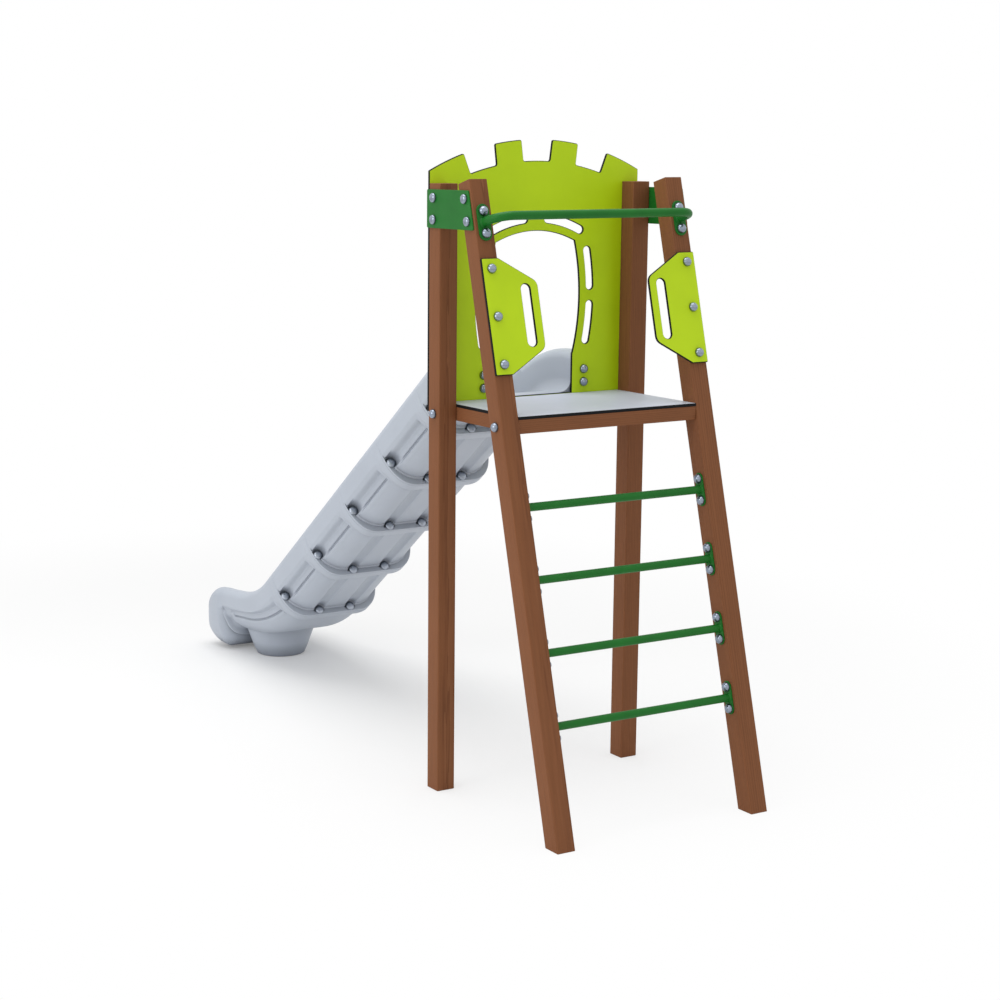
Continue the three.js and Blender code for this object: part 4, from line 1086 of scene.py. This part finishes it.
def nose_size(y):
    """The trough's sizes at y in the nose: its back edge rolls out, then it draws into the tip."""
    base = run_floor(y)

    def share(length):
        into = max(0.0, y - (TIP_Y - length)) / (length + 1.0)
        return sqrt(max(0.0, 1 - into * into))

    side, under, top, floor = share(171), share(126), share(183), share(100)
    left = min(1.0, max(0.0, 1 - (y - NOSE_Y) / NOSE_ROLL))
    roll = sqrt(1 - left * left)
    bottom = lerp(69.0, 18.0, roll) - base
    half = SKIN["half"] + 8.0 * smooth((y - NOSE_Y) / NOSE_ROLL)
    return dict(
        half=lerp(TIP_HALF, half, side),
        inner=lerp(TIP_HALF, SKIN["inner"], side),
        top=lerp(TIP_TOP - base, 220.0, top),
        bottom=lerp(TIP_Z - base, bottom, under),
        flat=lerp(137.0, TIP_FLAT, roll),
        corner=286.0,
        floor=lerp(TIP_Z - base, 0.0, floor),
        floor_half=lerp(TIP_FLAT, SKIN["floor_half"], floor),
        floor_corner=lerp(TIP_HALF, SKIN["floor_corner"], side),
    )


def run_size(y):
    """The sizes from the run-out to the nose's back edge, where the underside comes down."""
    t = (y - (NOSE_Y - RECESS)) / RECESS
    if t <= 0:
        return dict(RUN_SKIN, top=RUN_SKIN["top"] + 0.5 * max(0.0, 1 + t))
    return mixed(RUN_SKIN, nose_size(NOSE_Y), min(1.0, t))


def recess(y, h, k, below):
    """Depth behind the nose: past the skin's rounded end, over a bead and a crease to the nose.

    below is how far a point lies under the upper channel's floor.
    """
    ahead = y - NOSE_Y
    low = smooth((75 - h) / 60)
    start = -104.0 - 30.0 * smooth((30 - h) / 24)
    into = min(1.0, max(0.0, (ahead - start) / 11.0))
    depth = lerp(13.0, 33.0, low) * (1 - sqrt(1 - into * into))
    depth += 3.0 * low * bell((ahead - start - 14) / 8)
    depth -= 2.0 * bell((ahead - start + 4) / 11)
    depth = lerp(depth, lerp(2.5, 10.0, low), smooth((ahead + 30) / 12) * smooth(below / 14))
    crease = lerp(17.0, 34.0, low)
    if ahead > -10:
        depth = lerp(depth, crease, smooth((ahead + 10) / 8))
    if ahead > -2:
        depth = crease * max(0.0, 1 - (ahead + 2) / 55) ** 1.8
    return depth * smooth((k - 8) / 16)


def exit_skin(size, t, y=0.0, share=1.0):
    """The exit's outline. t goes from 0 on the slope to 1 in the run-out."""
    groove = mixed(SLOPE_GROOVE, RUN_GROOVE, t)
    rise = 16.0 * smooth((y - NOSE_Y + 125) / 110)
    groove["up"] += rise
    groove["inner"] += rise
    if y > NOSE_Y - RECESS:
        groove["span"] = RUN_SPAN
    shoulder = size["top"] - (size["half"] - size["inner"]) / 2
    line = 1 - smooth((y - (NOSE_Y - 142)) / 9)

    def depth_at(x, h, k, n):
        # The channel's own heights, also where the underside comes down to the nose
        f = (h - size["bottom"]) / (shoulder - size["bottom"])
        level = lerp(*RUN_SPAN, f) if t == 1 else h
        depth = side_groove(level, groove, line) if k >= UNDER else 0.0
        if y > RECESS_Y:
            wall = smooth((groove["up"] - level) / (groove["up"] - groove["inner"]))
            depth *= 1 - smooth((y - (NOSE_Y - 40)) / 14)
            behind = recess(y, h, k, groove["inner"] - level) * wall
            # Under the thin floor the hollow stays shallower
            room = 21.0 * smooth((x - 165) / 65) - size["bottom"] - 11.0
            depth = soft_max(depth, min(behind, room), 2.0) - 0.5
        return depth * share

    return pressed(outline(size, groove), depth_at)


def slide_exit():
    rings = start_rings(slope_at, EXIT_START)
    begin = EXIT_START + TAPER + 15
    for k in range(5):
        place = slope_at(min(begin + 2.0 * k, EXIT_START + EXIT_STRAIGHT - 0.5))
        rings.append(stand(exit_skin(SKIN, 0.0, share=smooth(k / 4)), *place))
    for t in (k / 30 for k in range(31)):
        skin = exit_skin(mixed(SKIN, RUN_SKIN, t), min(t, 0.9999))
        rings.append(stand(skin, *bend_at(lerp(SLOPE, RUN_OUT, t))))
    stations = [lerp(RUN_Y + 30, RECESS_Y, k / 4) for k in range(5)]
    stations += [RECESS_Y + 2.5 * k for k in range(1, 53)]
    stations += [NOSE_Y - 20 + 1.25 * k for k in range(1, 32)]
    stations += [NOSE_Y + lerp(18.75, NOSE_ROLL, k / 10) for k in range(1, 11)]
    for k in range(1, 25):
        y = NOSE_Y + NOSE_LENGTH * sin(k / 24 * pi / 2)
        if y > stations[-1] + 1:
            stations.append(y)
    for y in stations:
        size = nose_size(y) if y > NOSE_Y else run_size(y)
        y = min(y, TIP_LIMIT)
        rings.append(stand(exit_skin(size, 1, y), y, run_floor(y), 0.0))
    form = Form()
    loft(form, rings)
    foot(form)
    form.piece("slide_exit", "moulding", ["plastic"], 50)


def bend_floor(y):
    """The height of the floor, and the tilt there, round the bend and in the run-out."""
    if y >= RUN_Y:
        return run_floor(y), 0.0
    angle = asin(SIN - (y - BEND_Y) / BEND_R)
    return bend_at(angle)[1], angle


def foot(form):
    """The conical foot, with a fillet where it meets the underside."""
    centre_y = NOSE_Y - 149.0
    under = {}  # outlines of the underside, one for each whole millimetre of y

    def top_at(r, k):
        """Height of the underside at a point of the foot."""
        x, y = around(r, k, FOOT_SIDES)
        base, tilt = bend_floor(centre_y + y)
        key = max(round(centre_y + y), round(RECESS_Y))
        if key not in under:
            under[key] = exit_skin(run_size(min(key, NOSE_Y)), 1, key)[:110]
        line = under[key]
        height = line[-1][1]
        for a, b in zip(line, line[1:]):
            if a[0] <= abs(x) <= b[0]:
                height = lerp(a[1], b[1], (abs(x) - a[0]) / max(1e-6, b[0] - a[0]))
                break
        return base + height / cos(tilt)

    rings = []
    for a in (0, 0.4, 0.8, 1.2, 1.5):
        r = FOOT_R - FOOT_EDGE * (1 - sin(a))
        rings.append([(r, FOOT_EDGE * (1 - cos(a)))] * FOOT_SIDES)
    rings.append([(FOOT_R + 40 * FOOT_DRAFT, 40.0)] * FOOT_SIDES)
    meets = []
    for k in range(FOOT_SIDES):
        z = 120.0
        for _ in range(8):
            z = top_at(FOOT_R + z * FOOT_DRAFT, k)
        meets.append(z)
    for t in (0.0, 0.3, 0.55, 0.75, 0.9, 1.0):
        out = 1 - cos(t * pi / 2)
        up = 1 - sin(t * pi / 2)
        ring = []
        for k, z in enumerate(meets):
            r = FOOT_R + (z - FOOT_FILLET) * FOOT_DRAFT + FOOT_FILLET * 1.1 * out
            top = lerp(z, max(z - 12, min(z + 12, top_at(r, k))), t)
            ring.append((r, top - FOOT_FILLET * up + 0.8 * t))
        rings.append(ring)
    # Closed just inside the underside, which is hollowed behind the nose
    for r in (165.0, 140.0, 115.0, 85.0, 50.0, 15.0):
        rings.append([(r, top_at(r, k) + 2.0) for k in range(FOOT_SIDES)])
    for i, ring in enumerate(rings):
        points = [(*around(r, k, FOOT_SIDES), z) for k, (r, z) in enumerate(ring)]
        rings[i] = [(x, centre_y + y, z) for x, y, z in points]
    loft(form, rings)


timbers()
platform()
castle_panel()
hand_panels()
top_plates()
rungs()
grab_bar()
straight_bolts()
slide_entry()
slide_sections()
slide_exit()

WHITE = (1, 1, 1, 1)


def floor_material():
    """A matt pale floor that the camera sees turn into plain white further out."""
    mat = bpy.data.materials.new("studio_floor")
    mat.use_nodes = True
    mat.node_tree.nodes.clear()
    m = Nodes(mat.node_tree)
    diffuse = m.add("ShaderNodeBsdfDiffuse", in_Color=(0.9, 0.9, 0.9, 1))
    glow = m.add("ShaderNodeEmission", in_Color=WHITE, in_Strength=1.0)
    coords = m.add("ShaderNodeTexCoord").outputs["Object"]
    away = m.add("ShaderNodeVectorMath", coords, (0.1, 1.5, 0.0), operation="DISTANCE")
    ends = dict(in_From_Min=0.3, in_From_Max=4.3, in_To_Min=0.15, in_To_Max=1.0)
    ends["interpolation_type"] = "SMOOTHSTEP"
    fade = m.add("ShaderNodeMapRange", away.outputs["Value"], **ends)
    seen = m.add("ShaderNodeLightPath").outputs["Is Camera Ray"]
    share = m.add("ShaderNodeMath", seen, fade.outputs[0], operation="MULTIPLY")
    m.chosen(share, diffuse, glow, "ShaderNodeOutputMaterial")
    return mat


def studio_world():
    """Even white light, and plain white where the camera or a mirror looks past the object."""
    world = bpy.data.worlds.new("studio")
    world.use_nodes = True
    world.node_tree.nodes.clear()
    w = Nodes(world.node_tree)
    light = w.add("ShaderNodeBackground", in_Color=WHITE, in_Strength=0.71)
    backdrop = w.add("ShaderNodeBackground", in_Color=WHITE, in_Strength=1.0)
    rays = w.add("ShaderNodeLightPath").outputs
    seen = (rays["Is Camera Ray"], rays["Is Glossy Ray"])
    either = w.add("ShaderNodeMath", *seen, operation="MAXIMUM")
    w.chosen(either, light, backdrop, "ShaderNodeOutputWorld")
    return world


# A floor 120 m wide, half a millimetre under the timbers' feet
floor_mesh = bpy.data.meshes.new("floor")
corners = [(x, y, -0.0005) for x, y in ((-60, -60), (60, -60), (60, 60), (-60, 60))]
floor_mesh.from_pydata(corners, [], [(0, 1, 2, 3)])
floor_mesh.materials.append(floor_material())
floor = add_object("floor", floor_mesh)
bpy.context.scene.world = studio_world()


def softbox(name, place, target, size, power):
    light = bpy.data.lights.new(name, "AREA")
    light.size = size
    light.energy = power
    obj = add_object(name, light)
    obj.location = place
    obj.rotation_euler = (Vector(target) - Vector(place)).to_track_quat("-Z", "Y").to_euler()


softbox("key", (-8.0, -1.5, 4.0), (0, 0, 1.0), 4.0, 140)
softbox("overhead", (-1.0, 0.0, 8.5), (0, 0, 0.5), 6.0, 300)

# The camera in pixels of the square picture: its width, the focal length, and the point ahead
PICTURE = 1000
FOCAL = 2020.11
CENTRE_X = 387.205
CENTRE_Y = 526.093
camera = bpy.data.cameras.new("camera")
camera.sensor_width = 36.0
camera.lens = FOCAL / PICTURE * camera.sensor_width
camera.shift_x = (PICTURE / 2 - CENTRE_X) / PICTURE
camera.shift_y = (CENTRE_Y - PICTURE / 2) / PICTURE
camera.clip_end = 300
camera_object = add_object("camera", camera)
yaw, pitch = 0.519762, 0.185940
look = Vector((sin(yaw) * cos(pitch), cos(yaw) * cos(pitch), -sin(pitch)))
camera_object.location = (-5.110919, -7.500110 + FRONT, 2.873626)
camera_object.rotation_euler = look.to_track_quat("-Z", "Y").to_euler()
bpy.context.scene.camera = camera_object
bpy.context.scene.view_settings.view_transform = "Standard"
